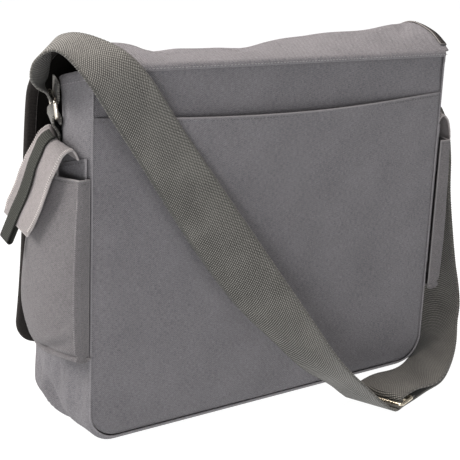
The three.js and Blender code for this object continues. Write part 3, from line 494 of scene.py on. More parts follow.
def stitches(name, lines, pitch=3.6, long=2.7, thick=0.55):
    """Rows of stitches. Each line is its points and the cloth's outward direction at them."""
    rings = ((-1.0, 0.4, -0.5), (-0.45, 1.0, 0.55), (0.45, 1.0, 0.55), (1.0, 0.4, -0.5))
    sides = 6
    points = []
    faces = []
    for line, outward in lines:
        line = np.asarray(line, float)
        outward = np.broadcast_to(np.asarray(outward, float), line.shape)
        run = np.concatenate([[0], np.cumsum(np.linalg.norm(np.diff(line, axis=0), axis=1))])
        at = lambda field, s: np.array([np.interp(s, run, field[:, k]) for k in range(3)])
        for centre in np.arange(pitch / 2, run[-1] - pitch / 3, pitch):
            ahead = unit(at(line, centre + long / 2) - at(line, centre - long / 2))
            up = unit(at(outward, centre))
            beside = unit(np.cross(ahead, up))
            first = len(points)
            for place, fat, lift in rings:
                middle = at(line, centre + place * long / 2) + up * thick * lift / 2
                for k in range(sides):
                    turn = 2 * np.pi * k / sides
                    points.append(middle + (beside * np.cos(turn) + up * np.sin(turn)) * thick * fat / 2)
            for r in range(len(rings) - 1):
                for k in range(sides):
                    m = (k + 1) % sides
                    here = first + r * sides
                    faces.append((here + k, here + sides + k, here + sides + m, here + m))
            faces.append(tuple(first + k for k in range(sides)))
            faces.append(tuple(first + len(rings) * sides - 1 - k for k in range(sides)))
    return made(name, points, faces)


hem_y = np.linspace(half_depth - 3, front_seam(bag_height) + 3, 60)
hem_lines = []
for side in (1, -1):
    hem_across = (half_depth - hem_y) / (half_depth - front_seam(bag_height))
    hem_z = bag_height - 8 - gusset_top_drop * hem_across
    line = gusset_face(hem_y, hem_z, 0.7) * (side, 1, 1)
    hem_lines.append((line, (side, 0, 0)))
fitted(stitches("gusset_hem_stitches", hem_lines), grey_thread, "canvas")

# The back and front panels: two flat pieces of canvas, cut with round lower corners.
# Each is seamed to the gusset along its sides and foot, with the raw edges turned inside.
panel_corner_start = 0.88
panel_inset = canvas_wall + seam_gap
panel_v = np.concatenate([
    np.linspace(0, panel_corner_start, 64), np.linspace(panel_corner_start, 1, 16)[1:],
])
panel_u = np.linspace(0, 1, 90)


def panel_edge(v, inset):
    """Half the width of a panel and its height at a share of the way down its edge."""
    foot = seam_rise + inset
    turn = np.clip((v - panel_corner_start) / (1 - panel_corner_start), 0, 1) * np.pi / 2
    down = np.clip(v / panel_corner_start, 0, 1)
    straight = (1 - down) * bag_height + down * (foot + corner_radius)
    x = half_width - inset - corner_radius * (1 - np.cos(turn))
    z = np.where(v <= panel_corner_start, straight, foot + corner_radius * (1 - np.sin(turn)))
    return x, z


U, V = np.meshgrid(panel_u, panel_v)
edge_x, edge_z = panel_edge(V, panel_inset)
panel_x = edge_x * (1 - 2 * U)
back_y = half_depth - canvas_wall - seam_gap + sway(panel_x, edge_z, 120, 0.5)
back_grid = np.stack([panel_x, back_y, edge_z], -1)
fitted(cloth("back_panel_canvas", back_grid, canvas_wall, seat=1), canvas, "canvas", "back_panel")
front_low = np.maximum(
    edge_z - front_top_drop * ease(edge_z / bag_height, 0.4, 1) - 1, seam_rise + panel_inset,
)
front_x = (edge_x - front_ease - drawn_in(front_low)) * (1 - 2 * U)
front_y = front_seam(front_low) + canvas_wall + sway(front_x, front_low, 90, 0.6)
front_grid = np.stack([front_x, front_y, front_low], -1)
fitted(cloth("front_panel_canvas", front_grid, canvas_wall, seat=-1), canvas, "canvas", "front_panel")

# The slip pocket: a second layer of canvas over the whole back, open along its top.
# Its hem is folded twice and top-stitched, and it stands a little away from the bag at the middle.
slip_hem = 283.0
slip_hem_dip = 7.0
slip_stand = 8.0
slip_v = np.concatenate([np.linspace(0, 0.06, 10), np.linspace(0.072, panel_corner_start, 78),
                         np.linspace(panel_corner_start, 1, 18)[1:]])
slip_u = np.concatenate([np.linspace(0, 0.02, 6), np.linspace(0.03, 0.97, 100), np.linspace(0.98, 1, 6)])


def slip_pocket_place(u, v):
    edge_x, edge_z = panel_edge(v, panel_inset)
    x = edge_x * (1 - 2 * u)
    arch = np.sin(np.pi * u)
    hem = slip_hem - slip_hem_dip * arch
    z = np.where(edge_z > corner_radius, edge_z * hem / bag_height + seam_rise, edge_z)
    stand = slip_stand * arch * np.maximum(ease(z / bag_height, 0.25, 1), 0) ** 1.5
    belly = 2 * arch * np.sin(np.pi * z / bag_height)
    inside = np.minimum(edge_x - np.abs(x), z - edge_z.min())
    tuck = 1.3 * np.exp(-(inside / 3.0) ** 2)
    below = hem + seam_rise - z
    band = 0.45 * (1 - ease(below, 11, 13)) - 0.35 * np.exp(-((below - 3.0) / 1.2) ** 2)
    soft = sway(x, z, 150, 0.8) + sway(x, z, 47, 0.16, 1.0)
    y = half_depth + stand + belly + (band + soft) * ease(inside, 0, 14) - tuck
    return np.stack([x, y, z], -1)


U, V = np.meshgrid(slip_u, slip_v)
slip_pocket = cloth("slip_pocket_canvas", slip_pocket_place(U, V), canvas_wall, seat=1)
fitted(slip_pocket, canvas, "canvas", "back_slip_pocket")
hem_line = slip_pocket_place(np.linspace(0.01, 0.99, 200), np.full(200, 0.009))
fitted(stitches("slip_pocket_stitches", [(hem_line, (0, 1, 0))]), dark_thread, "canvas")

# The flap: a wide sheet of canvas from the back seam over the bag's mouth and down its front.
# Its soft crown has sunk unevenly, its root is turned under and top-stitched to the back.
flap_width = bag_width + 8
flap_corner_radius = 26.0
flap_crown = 19.0
binding_wall = 1.2
lining_wall = 1.2
flap_lip_width = 0.975
flap_profile = rows(
    "place depth height crown",
    (0 / 11, 0.492, 0.000, 0.00),
    (1 / 11, 0.430, 0.004, 0.28),
    (2 / 11, 0.320, 0.007, 0.68),
    (3 / 11, 0.130, 0.005, 1.00),
    (4 / 11, -0.040, -0.012, 0.85),
    (5 / 11, -0.165, -0.042, 0.55),
    (6 / 11, -0.265, -0.085, 0.30),
    (7 / 11, -0.320, -0.130, 0.12),
    (8 / 11, -0.365, -0.290, 0.00),
    (9 / 11, -0.395, -0.490, 0.00),
    (10 / 11, -0.450, -0.670, 0.00),
    (11 / 11, -0.535, -0.847, 0.00),
)
crown_line = rows(
    "along rise",
    (-1.00, 0.95), (-0.94, 1.10), (-0.86, 1.00), (-0.70, 0.76), (-0.50, 0.68), (-0.26, 0.52), (-0.08, 0.24),
    (0.06, 0.03), (0.24, 0.12), (0.42, 0.14), (0.55, 0.03), (0.66, 0.34), (0.80, 0.50), (1.00, 0.55),
)
crown_folds = rows(
    "from_a from_b to_a to_b wide tall",
    (150, 10, 62, 34, 7, -2.4),
    (118, 40, 46, 14, 6, 1.8),
    (76, 8, 18, 40, 7, -2.6),
    (36, 12, -22, 42, 8, 2.0),
    (-30, 8, -112, 28, 8, -2.2),
    (-88, 14, -172, 50, 9, 2.2),
    (-150, 10, -192, 56, 6, -2.2),
    (20, 46, -64, 66, 9, 1.8),
    (168, 36, 96, 70, 9, 2.0),
)
flap_steps = np.linspace(0, 1, 61)
flap_line = np.stack([
    bag_depth * curve(flap_profile, "place", "depth", flap_steps),
    bag_height * (1 + curve(flap_profile, "place", "height", flap_steps)),
], -1)
flap_run = np.concatenate([[0], np.cumsum(np.linalg.norm(np.diff(flap_line, axis=0), axis=1))])
flap_length = flap_run[-1]


def flap_place(x, s):
    """Points of the flap's middle, at a place across it and a length down from the back seam."""
    t = np.interp(s, flap_run, flap_steps)
    y = bag_depth * curve(flap_profile, "place", "depth", t)
    z = bag_height * (1 + curve(flap_profile, "place", "height", t))
    crown = curve(flap_profile, "place", "crown", t) * flap_crown
    z = z + crown * curve(crown_line, "along", "rise", x / (flap_width / 2)) + seam_gap
    return np.stack(np.broadcast_arrays(x, y, z), -1)


def flap_normal(x, s):
    step = 2.0
    across = flap_place(x + step, s) - flap_place(x - step, s)
    down = flap_place(x, np.minimum(s + step, flap_length)) - flap_place(x, np.maximum(s - step, 0))
    return unit(np.cross(down, across))


def flap_soft(x, s):
    """The small swells and creases of the flap's cloth."""
    crown = ease(s, 8, 40) * (1 - ease(s, 110, 170))
    front = ease(s, 120, 200)
    held = ease(flap_width / 2 - np.abs(x), 4, 26) * ease(s, 2, 14)
    small = folds(crown_folds, x, s) * crown + sway(x, s, 60, 0.8, 2.0) * crown
    small = small + sway(x, s, 130, 1.6) * front
    return small * held


def flap_outline(v, inset):
    """Half the flap's width and the length down it, at a share of the way round its edge."""
    start = 0.91
    long = flap_length - inset
    radius = flap_corner_radius - inset
    turn = np.clip((v - start) / (1 - start), 0, 1) * np.pi / 2
    straight = (long - radius) * np.clip(v / start, 0, 1)
    x = flap_width / 2 - inset - radius * (1 - np.cos(turn))
    return x, np.where(v <= start, straight, long - radius * (1 - np.sin(turn)))


flap_v = np.concatenate([
    np.linspace(0, 0.25, 60), np.linspace(0.26, 0.91, 60), np.linspace(0.91, 1, 14)[1:],
])
flap_u = np.concatenate([np.linspace(0, 0.03, 7), np.linspace(0.04, 0.96, 130), np.linspace(0.97, 1, 7)])


def flap_sheet(inset, offset, v):
    U, V = np.meshgrid(flap_u, v)
    half, s = flap_outline(V, inset)
    x = half * (2 * U - 1)
    return flap_place(x, s) + flap_normal(x, s) * (offset + flap_soft(x, s))[..., None]


flap_inset = binding_wall + seam_gap
flap_offset = (seam_gap + canvas_wall) / 2
lining_offset = -(seam_gap + lining_wall) / 2
flap_grid = flap_sheet(flap_inset, flap_offset, flap_v)
lip_drop = np.array([5.0, 4.2, 3.0, 1.6, 0.6])[:, None]
lip_out = np.array([1.9, 2.3, 2.4, 2.0, 1.1])[:, None]
lip_start = flap_grid[:1] + 0
lip = np.repeat(lip_start, len(lip_drop), axis=0)
lip[..., 0] = lip[..., 0] * flap_lip_width
lip[..., 1] = half_depth - 0.9 + lip_out
lip[..., 2] = lip_start[..., 2] - lip_drop
flap_grid = np.concatenate([lip, flap_grid])
flap = cloth("flap_canvas", flap_grid, canvas_wall)
lining_finish = Finish("black_lining")
lining_place = lining_finish.node("ShaderNodeAttribute", {"attribute_name": "cloth"}, out="Vector")
lining_weft = lining_finish.noise(lining_finish.stretched(lining_place, 0.3, 1.6), 1.0, 3.0, 0.6)
lining_wash = lining_finish.noise(lining_place, 0.03, 3.0, 0.6)
lining_shade = lining_finish.blend(
    lining_weft * 0.6 + lining_wash * 0.4, (0.0015, 0.0013, 0.0011, 1), (0.008, 0.007, 0.006, 1),
)
lining_cloth = lining_finish.surface(lining_shade, 0.9, height=lining_weft, relief=0.0003, gloss=0.08)
lining = cloth("flap_lining_cloth", flap_sheet(flap_inset, lining_offset, flap_v[3:]), lining_wall)

# The binding: ribbed dark tape folded over the flap's free edge and stitched through both legs.
# Its two long borders have rubbed pale.
binding_width = 9.0


def ribbed_finish(name, dark, light, wear_and_shade_colour, pitch):
    """Tape with fine ribs across it."""
    finish = Finish(name)
    place = finish.node("ShaderNodeAttribute", {"attribute_name": "cloth"}, out="Vector")
    edge = finish.node("ShaderNodeAttribute", {"attribute_name": "edge"}, out="Fac")
    parts = finish.node("ShaderNodeSeparateXYZ", {}, {"Vector": place})
    along = Value(finish, parts.socket.node.outputs["Y"])
    rib = finish.node("ShaderNodeMath", {"operation": "SINE"}, {0: along * (2 * math.pi / pitch)})
    fleck = finish.noise(place, 0.9, 3.0, 0.7)
    tone = rib * 0.28 + (fleck - 0.5) * 1.3 + 0.5
    shade = finish.blend(finish.step(tone, 0.0, 1.0), dark, light)
    wear_and_shade_share = finish.step(edge + (fleck - 0.5) * 1.2, 0.0, 0.7, 0.8, 0.0)
    shade = finish.blend(wear_and_shade_share, shade, wear_and_shade_colour)
    return finish.surface(shade, 0.9, height=rib * 0.5 + fleck * 0.5, relief=0.0004, gloss=0.2)


binding_tape = ribbed_finish(
    "binding_tape", (0.006, 0.005, 0.0045, 1), (0.040, 0.035, 0.033, 1), (0.25, 0.235, 0.23, 1), 1.3,
)
binding_v = np.concatenate([
    np.linspace(0.014, 0.3, 60), np.linspace(0.31, 0.905, 50), np.linspace(0.91, 1, 16),
])
foot_count = 78
binding_side = np.concatenate([
    np.ones(len(binding_v)), np.linspace(1, -1, foot_count + 2)[1:-1], -np.ones(len(binding_v)),
])
binding_round = np.concatenate([binding_v, np.ones(foot_count), binding_v[::-1]])
outer_face = flap_offset + canvas_wall / 2 + seam_gap + binding_wall / 2
inner_face = lining_offset - lining_wall / 2 - seam_gap - binding_wall / 2
binding_section = rows(
    "inset offset",
    (binding_width, outer_face + 0.05),
    (binding_width * 0.75, outer_face + 0.2),
    (binding_width * 0.5, outer_face + 0.05),
    (binding_width * 0.3, outer_face + 0.2),
    (2.2, outer_face + 0.1),
    (1.0, outer_face - 0.2),
    (0.4, (outer_face + inner_face) / 2 + 0.9),
    (0.3, (outer_face + inner_face) / 2 - 0.9),
    (1.0, inner_face + 0.2),
    (2.2, inner_face - 0.1),
    (binding_width * 0.5, inner_face - 0.05),
    (binding_width, inner_face - 0.05),
)


def binding_strip(inset, offset):
    half, s = flap_outline(binding_round, inset)
    x = half * binding_side
    return flap_place(x, s) + flap_normal(x, s) * offset


binding_grid = np.stack([binding_strip(row["inset"], row["offset"]) for row in binding_section], 1)
binding = cloth("flap_binding_tape", binding_grid[:, ::-1], binding_wall)
fitted(binding, binding_tape, "binding_tape", "flap_binding")
fitted(lining, lining_cloth, "lining_cloth", "flap_lining")
fitted(flap, canvas, "canvas", "flap")
seam_x = np.linspace(-flap_width / 2 + 4, flap_width / 2 - 4, 160)
seam_line = flap_place(seam_x, np.full(160, 0.0)) * (1, 0, 1) + (0, half_depth + 2.3, -2.4)
binding_line = binding_strip(binding_width - 1.8, outer_face + 0.75)
binding_half, binding_s = flap_outline(binding_round, binding_width)
binding_out = flap_normal(binding_half * binding_side, binding_s)
fitted(stitches("flap_seam_stitches", [(seam_line, (0, 1, 0.2))]), grey_thread, "canvas")
binding_stitches = stitches("binding_stitches", [(binding_line, binding_out)], 3.4, 2.5, 0.45)
fitted(binding_stitches, dark_thread, "binding_tape")

# The side pockets: each is a bellows pouch of canvas, sewn to the gusset along a crisp back pleat.
# Its front swells out, its foot is gathered up at both corners and its mouth is turned over and stitched.
ring_height = bag_height - 38
side_flap_root = ring_height - 30
side_pocket_hem = side_flap_root - 21
side_pocket_base = 82.0
side_pocket_height = side_pocket_hem - side_pocket_base
side_pocket_back_hem = side_pocket_hem + 16
side_pocket_back_dip = 24.0
side_pocket_lap = 1.5
side_pocket_stand = 26.0
side_pocket_margin = 3.5
pocket_root = 1.0
cloth_seat = 1.0
pocket_section = rows(
    "round out across",
    (0.00, 0.00, 0.00), (0.12, 0.48, -0.01), (0.30, 0.86, 0.22), (0.55, 1.00, 0.54),
    (0.78, 0.82, 0.84), (0.90, 0.48, 0.98), (1.00, 0.00, 1.00),
)
pocket_fall = rows(
    "down height full round_up",
    (0.00, 1.000, 0.70, 0.00), (0.12, 0.870, 0.80, 0.00), (0.25, 0.740, 0.92, 0.00), (0.50, 0.440, 1.03, 0.03),
    (0.70, 0.180, 1.02, 0.08), (0.82, 0.060, 0.90, 0.13), (0.90, 0.000, 0.62, 0.15), (1.00, 0.015, 0.04, 0.15),
)
pocket_folds = rows(
    "from_a from_b to_a to_b wide tall",
    (0.15, 0.76, 0.46, 0.86, 0.026, -2.6),
    (0.19, 0.70, 0.34, 0.80, 0.028, 1.6),
    (0.17, 0.66, 0.25, 0.72, 0.022, -1.6),
    (0.62, 0.80, 0.86, 0.70, 0.040, -1.6),
    (0.30, 0.10, 0.44, 0.34, 0.050, -1.2),
    (0.52, 0.20, 0.60, 0.60, 0.060, 1.0),
)


def pocket_depth(across, z):
    return (1 - across) * (half_depth + side_pocket_lap) + across * (front_seam(z) + side_pocket_margin)


def pocket_place(u, v, proud=0.0):
    """Points of the left pocket's wall, round it from its back seam and down from its mouth."""
    full = curve(pocket_fall, "down", "full", v)
    up = curve(pocket_fall, "down", "round_up", v) * ease(u, 0.42, 0.88)
    tall = curve(pocket_fall, "down", "height", v) * (1 - up) + up
    z = side_pocket_base + side_pocket_height * tall
    y = pocket_depth(curve(pocket_section, "round", "across", u), z)
    out = side_pocket_stand * curve(pocket_section, "round", "out", u) * full
    return gusset_face(y, z, canvas_wall / 2 + pocket_root + out + proud)


def pocket_soft(u, v):
    pleat = 1.9 * np.exp(-((u - 0.115) / 0.008) ** 2) - 2.2 * np.exp(-((u - 0.098) / 0.006) ** 2)
    hem = 0.5 * (1 - ease(v, 0.055, 0.068)) - 0.4 * np.exp(-((v - 0.016) / 0.006) ** 2)
    foot = 1.6 * np.exp(-((v - 0.875) / 0.014) ** 2) - 1.9 * np.exp(-((v - 0.845) / 0.010) ** 2)
    swell = folds(pocket_folds, u, v) + sway(u, v, 0.42, 0.9) * np.sin(np.pi * u)
    return pleat + (hem + foot + swell) * ease(u, 0.0, 0.08) * ease(1 - u, 0, 0.08)


pocket_u = np.concatenate([np.linspace(0, 0.08, 8), np.linspace(0.084, 0.14, 26), np.linspace(0.15, 1, 70)])
pocket_v = np.concatenate([np.linspace(0, 0.08, 14), np.linspace(0.09, 0.80, 56), np.linspace(0.81, 1, 30)])
U, V = np.meshgrid(pocket_u, pocket_v)
left_pocket = pocket_place(U, V, pocket_soft(U, V))
patch_edge = 0.05
patch_foot = 0.17
patch_u, patch_v = np.meshgrid(np.linspace(patch_edge, 1 - patch_edge, 40), np.linspace(0, 1, 50))
patch_hem = side_pocket_back_hem - side_pocket_back_dip * np.linspace(0, 1, 40)
patch_z = patch_hem * (1 - patch_v) + (side_pocket_base + side_pocket_height * patch_foot) * patch_v
left_patch = gusset_face(pocket_depth(patch_u, patch_z), patch_z, cloth_seat)
# The pouches' pale canvas is darkened below the flaps' copy of it: painted shade.
shaded_pale_canvas = canvas_finish(
    "shaded_pale_canvas", (0.085, 0.080, 0.083, 1), (0.205, 0.194, 0.199, 1), (0.27, 0.26, 0.262, 1),
)
# The same pale canvas for the pocket flaps, kept lighter and a little pink: painted light.
lit_pale_canvas = canvas_finish(
    "lit_pale_canvas", (0.172, 0.159, 0.158, 1), (0.318, 0.292, 0.290, 1), (0.46, 0.43, 0.42, 1), 0.8,
)
hook_size = 24.0
hook_wall = 1.6
hook_top = 0.12
hook_down = np.linspace(hook_top, hook_top + hook_size / side_pocket_height, 12)
hook_u, hook_v = np.meshgrid(np.linspace(0.47, 0.60, 12), hook_down)


def surface_normal(place, u, v, step=0.01):
    return unit(np.cross(place(u + step, v) - place(u - step, v), place(u, v + step) - place(u, v - step)))


hook_normal = surface_normal(pocket_place, hook_u, hook_v)
hook_grid = pocket_place(hook_u, hook_v) + hook_normal * (canvas_wall / 2 + seam_gap)
hook_finish = Finish("hook_tape")
hook_place = hook_finish.node("ShaderNodeAttribute", {"attribute_name": "cloth"}, out="Vector")
hook_cells = hook_finish.node("ShaderNodeTexVoronoi", {}, {"Vector": hook_place, "Scale": 1.1})
hook_shade = hook_finish.blend(hook_cells, (0.012, 0.012, 0.012, 1), (0.002, 0.002, 0.002, 1))
hook_tape = hook_finish.surface(hook_shade, 0.6, height=1 - hook_cells, relief=0.0008)


def on_side(grid, side):
    """A left-hand grid as it is, or turned over to the right side."""
    return grid if side > 0 else (grid * (-1, 1, 1))[:, ::-1]


for name, side in (("left", 1), ("right", -1)):
    pocket = cloth(f"side_pocket_canvas_{name}", on_side(left_pocket, side), canvas_wall)
    fitted(pocket, shaded_pale_canvas, "canvas_light", f"side_pocket_{name}")
    patch = cloth(f"side_patch_canvas_{name}", on_side(left_patch, side), canvas_wall, seat=1)
    fitted(patch, canvas, "canvas", f"side_pocket_back_{name}")
    hooks = cloth(f"hook_tape_{name}", on_side(hook_grid, side), hook_wall, seat=1)
    fitted(hooks, hook_tape, "hook_tape", f"hook_patch_{name}")
    turn = np.array((side, 1, 1))
    mouth_u = np.linspace(0.13, 0.98, 90)
    mouth = pocket_place(mouth_u, np.full(90, 0.016), 0.75) * turn
    strip_u = np.linspace(0.01, 0.105, 10)
    strip = pocket_place(strip_u, np.full(10, 0.016), 0.1) * turn + (0, canvas_wall / 2, 0)
    patch_y = pocket_depth(patch_u[0], patch_hem - 2.5)
    patch_line = gusset_face(patch_y, patch_hem - 2.5, cloth_seat + canvas_wall) * turn
    rows_of_thread = [(mouth, (side, 0, 0)), (strip, (0, 1, 0)), (patch_line, (side, 0, 0))]
    fitted(stitches(f"side_pocket_stitches_{name}", rows_of_thread), dark_thread, "canvas_light")

# The pocket flaps: stiff tongues of pale canvas, made lighter and pinker with painted light, that arch out
# from the gusset and hang clear of the pouch.
# Their long edges are overcast, and dark tape runs down the middle and folds under as a pull.
strap_wall = 2.0
tab_ease = 0.8
tab_turn_in = 5.0
side_flap_width = 48.0
side_flap_length = 94.0
side_flap_stand = 34.0
side_flap_tilt = 0.27
side_flap_depth = 0.51
pull_width = 14.0
pull_wall = 1.6
pull_tab = 17.0
pull_place = 0.6
side_flap_fall = rows(
    "down out height shift",
    (0.00, 0.00, 0.000, 0.000), (0.06, 0.09, 0.062, 0.000), (0.12, 0.20, 0.085, 0.000),
    (0.25, 0.43, 0.030, -0.010), (0.33, 0.56, -0.055, -0.020), (0.43, 0.70, -0.165, -0.055),
    (0.53, 0.77, -0.277, -0.105), (0.72, 0.85, -0.450, -0.200), (0.88, 0.94, -0.615, -0.320),
    (1.00, 1.00, -0.720, -0.385),
)


def side_flap_place(u, v):
    """Points of the left pocket flap, across it from its back edge and down from its root."""
    root_stand = cloth_seat + tab_ease + strap_wall + seam_gap + canvas_wall / 2
    row = lambda column: curve(side_flap_fall, "down", column, v)
    corner = ease(v, 0.86, 1) * 0.1 * np.abs(2 * u - 1) ** 3
    across = side_flap_width * (u - 0.5) * (1 - corner)
    y = half_depth * (side_flap_depth + row("shift")) - across * math.cos(side_flap_tilt)
    z = side_flap_root + side_flap_length * row("height") + across * math.sin(side_flap_tilt)
    root = gusset_face(y, side_flap_root - 4, root_stand)[..., 0]
    crown = half_width + root_stand + side_flap_stand * row("out")
    share = ease(v, 0.1, 0.6)
    x = (1 - share) * (root + side_flap_stand * row("out")) + share * crown
    return np.stack([x, y, z], -1)


def side_flap_normal(u, v):
    step = 0.02
    across = side_flap_place(np.minimum(u + step, 1), v) - side_flap_place(np.maximum(u - step, 0), v)
    down = side_flap_place(u, np.minimum(v + step, 1)) - side_flap_place(u, np.maximum(v - step, 0))
    return unit(np.cross(across, down))


overcast_pitch = 2.2
overcast_reach = 0.07
side_flap_run = 125.0
U, V = np.meshgrid(
    np.concatenate([np.linspace(0, 0.03, 4), np.linspace(0.05, 0.95, 34), np.linspace(0.97, 1, 4)]),
    np.linspace(0, 1, 130),
)
side_flap_grid = side_flap_place(U, V) + side_flap_normal(U, V) * sway(U, V, 0.6, 0.5)[..., None]
tooth = 0.5 * np.sin(2 * np.pi * V * side_flap_run / overcast_pitch)
near_edge = ease(np.abs(2 * U - 1), 0.93, 1.0)
flap_across = np.array((0, -math.cos(side_flap_tilt), math.sin(side_flap_tilt)))
side_flap_grid = side_flap_grid + flap_across * (tooth * near_edge * np.sign(U - 0.5))[..., None]
pull_offset = canvas_wall / 2 + seam_gap + pull_wall / 2
pull_u = np.linspace(0, 1, 13)
pull_share = pull_place + (pull_u - 0.5) * pull_width / side_flap_width
face_v = np.linspace(0.12, 1, 60)
PU, PV = np.meshgrid(pull_share, face_v)
pull_face = side_flap_place(PU, PV) + side_flap_normal(PU, PV) * pull_offset
pull_down = unit(side_flap_place(pull_place, 1.0) - side_flap_place(pull_place, 0.95))
pull_out = side_flap_normal(pull_place, 1.0)
pull_end = side_flap_place(pull_share, np.ones(13))[None]
tab_share = np.linspace(0, 1, 8)[1:, None, None]
tab_face = pull_end + pull_out * pull_offset + pull_down * pull_tab * tab_share
fold_turn = np.linspace(0, np.pi, 9)[1:, None, None]
fold_arm = pull_out * np.cos(fold_turn) + pull_down * np.sin(fold_turn)
tab_fold = pull_end + pull_down * pull_tab + pull_offset * fold_arm
tab_back = pull_end + pull_down * (pull_tab - pull_tab * 1.6 * tab_share) - pull_out * pull_offset
pull_grid = np.concatenate([pull_face, tab_face, tab_fold, tab_back])
pull_tape = ribbed_finish(
    "pull_tape", (0.014, 0.0145, 0.0125, 1), (0.056, 0.058, 0.051, 1), (0.010, 0.010, 0.009, 1), 1.7,
)
for name, side in (("left", 1), ("right", -1)):
    tongue = cloth(f"side_flap_canvas_{name}", on_side(side_flap_grid, side), canvas_wall)
    fitted(tongue, lit_pale_canvas, "canvas_light", f"side_flap_{name}")
    pull = cloth(f"pull_tape_{name}", on_side(pull_grid, side), pull_wall)
    fitted(pull, pull_tape, "pull_tape", f"pull_webbing_{name}")
    overcast = []
    for edge_u in (0.0, 1.0):
        inner_u = edge_u + overcast_reach * (1 - 2 * edge_u)
        for at_v in np.arange(0.08, 0.99, overcast_pitch / side_flap_run):
            at_u = np.array((edge_u, inner_u))
            down_v = np.array((at_v, at_v))
            normal = side_flap_normal(at_u, down_v)
            line = side_flap_place(at_u, down_v) + normal * (canvas_wall / 2 + 0.1)
            overcast.append((line * (side, 1, 1), normal * (side, 1, 1)))
    fitted(stitches(f"side_flap_overcast_{name}", overcast, 3.2, 3.0, 0.7), pale_thread, "canvas_light")
    lines = []
    for share in (0.10, 0.90):
        at_v = np.linspace(0.13, 0.99, 60)
        at_u = np.full(60, pull_place + (share - 0.5) * pull_width / side_flap_width)
        normal = side_flap_normal(at_u, at_v)
        line = side_flap_place(at_u, at_v) + normal * (pull_offset + pull_wall / 2)
        lines.append((line * (side, 1, 1), normal * (side, 1, 1)))
    fitted(stitches(f"side_flap_stitches_{name}", lines, 3.2, 2.3, 0.45), dark_thread, "pull_tape")

# The anchor tabs and rings: heavy webbing sewn up each end of the gusset and looped over a wire ring.
# The rings are bent nickel-plated wire, rubbed in patches; the right one is tipped out by its strap.
strap_width = 50.0
ring_wire = 3.5
ring_inner_width = 53.0
ring_inner_height = 12.0
ring_turn = 0.4
ring_lean = np.array((-math.sin(ring_turn), -math.cos(ring_turn), 0.0))
ring_outward = np.array((-ring_lean[1], ring_lean[0], 0.0))
ring_depth = 1.0
bar_reach = ring_inner_height / 2 + ring_wire / 2
wrap_radius = ring_wire / 2 + seam_gap + strap_wall / 2
ring_near = -(ring_inner_width + 2 * ring_wire) / 2 * ring_lean[1]
ring_stand = wrap_radius + strap_wall / 2 + cloth_seat
ring_x = gusset_face(ring_depth + ring_near, ring_height)[0] + ring_stand + ring_near * ring_lean[0]
ring_foot = np.array((ring_x, ring_depth, ring_height - bar_reach))


def ring_at(side, tip):
    lean = ring_lean * (side, 1, 1)
    outward = ring_outward * (side, 1, 1)
    rise = np.array((0, 0, math.cos(tip))) + outward * math.sin(tip)
    foot = ring_foot * (side, 1, 1)
    return {"lean": lean, "outward": outward, "rise": rise, "foot": foot, "head": foot + rise * 2 * bar_reach}


left_ring = ring_at(1, 0.12)
right_ring = ring_at(-1, 1.75)


def wire_loop(centre, long_way, tall_way, half_long, half_tall, bend, wide, thick):
    """A rounded wire frame: half sizes of its centre line, the bend at its corners and its wire."""
    facing = unit(np.cross(long_way, tall_way))
    steps = 10
    sides = 16
    points = []
    for quarter, (a, b) in enumerate(((1, 1), (-1, 1), (-1, -1), (1, -1))):
        for k in range(steps + 1):
            turn = (quarter + k / steps) * np.pi / 2
            out = long_way * np.cos(turn) + tall_way * np.sin(turn)
            middle = centre + long_way * a * (half_long - bend) + tall_way * b * (half_tall - bend)
            middle = middle + out * bend
            for m in range(sides):
                round_it = 2 * np.pi * m / sides
                flat = out * wide / 2 * np.cos(round_it)
                points.append(middle + flat - facing * thick / 2 * np.sin(round_it))
    count = 4 * (steps + 1)
    faces = [
        (r * sides + m, r * sides + (m + 1) % sides,
         (r + 1) % count * sides + (m + 1) % sides, (r + 1) % count * sides + m)
        for r in range(count) for m in range(sides)
    ]
    return points, faces


def nickel_finish(name, bright, dull):
    finish = Finish(name)
    place = finish.node("ShaderNodeTexCoord", {}, out="Object")
    wear_and_shade_share = finish.noise(place, 260.0, 4.0, 0.65)
    scratch = finish.noise(finish.stretched(place, 900.0, 90.0), 1.0, 3.0, 0.6)
    shade = finish.blend(finish.step(wear_and_shade_share, 0.35, 0.65), bright, dull)
    return finish.surface(shade, 0.16 + scratch * 0.22, metallic=1.0, height=scratch, relief=0.00004)


nickel = nickel_finish("worn_nickel", (0.78, 0.73, 0.63, 1), (0.46, 0.42, 0.36, 1))
for name, ring in (("left", left_ring), ("right", right_ring)):
    points, faces = wire_loop(
        (ring["foot"] + ring["head"]) / 2, ring["lean"], ring["rise"],
        ring_inner_width / 2 + ring_wire / 2, ring_inner_height / 2 + ring_wire / 2, ring_wire * 0.8,
        ring_wire, ring_wire,
    )
    fitted(made(f"strap_ring_{name}", points, faces), nickel, "nickel", f"ring_{name}")


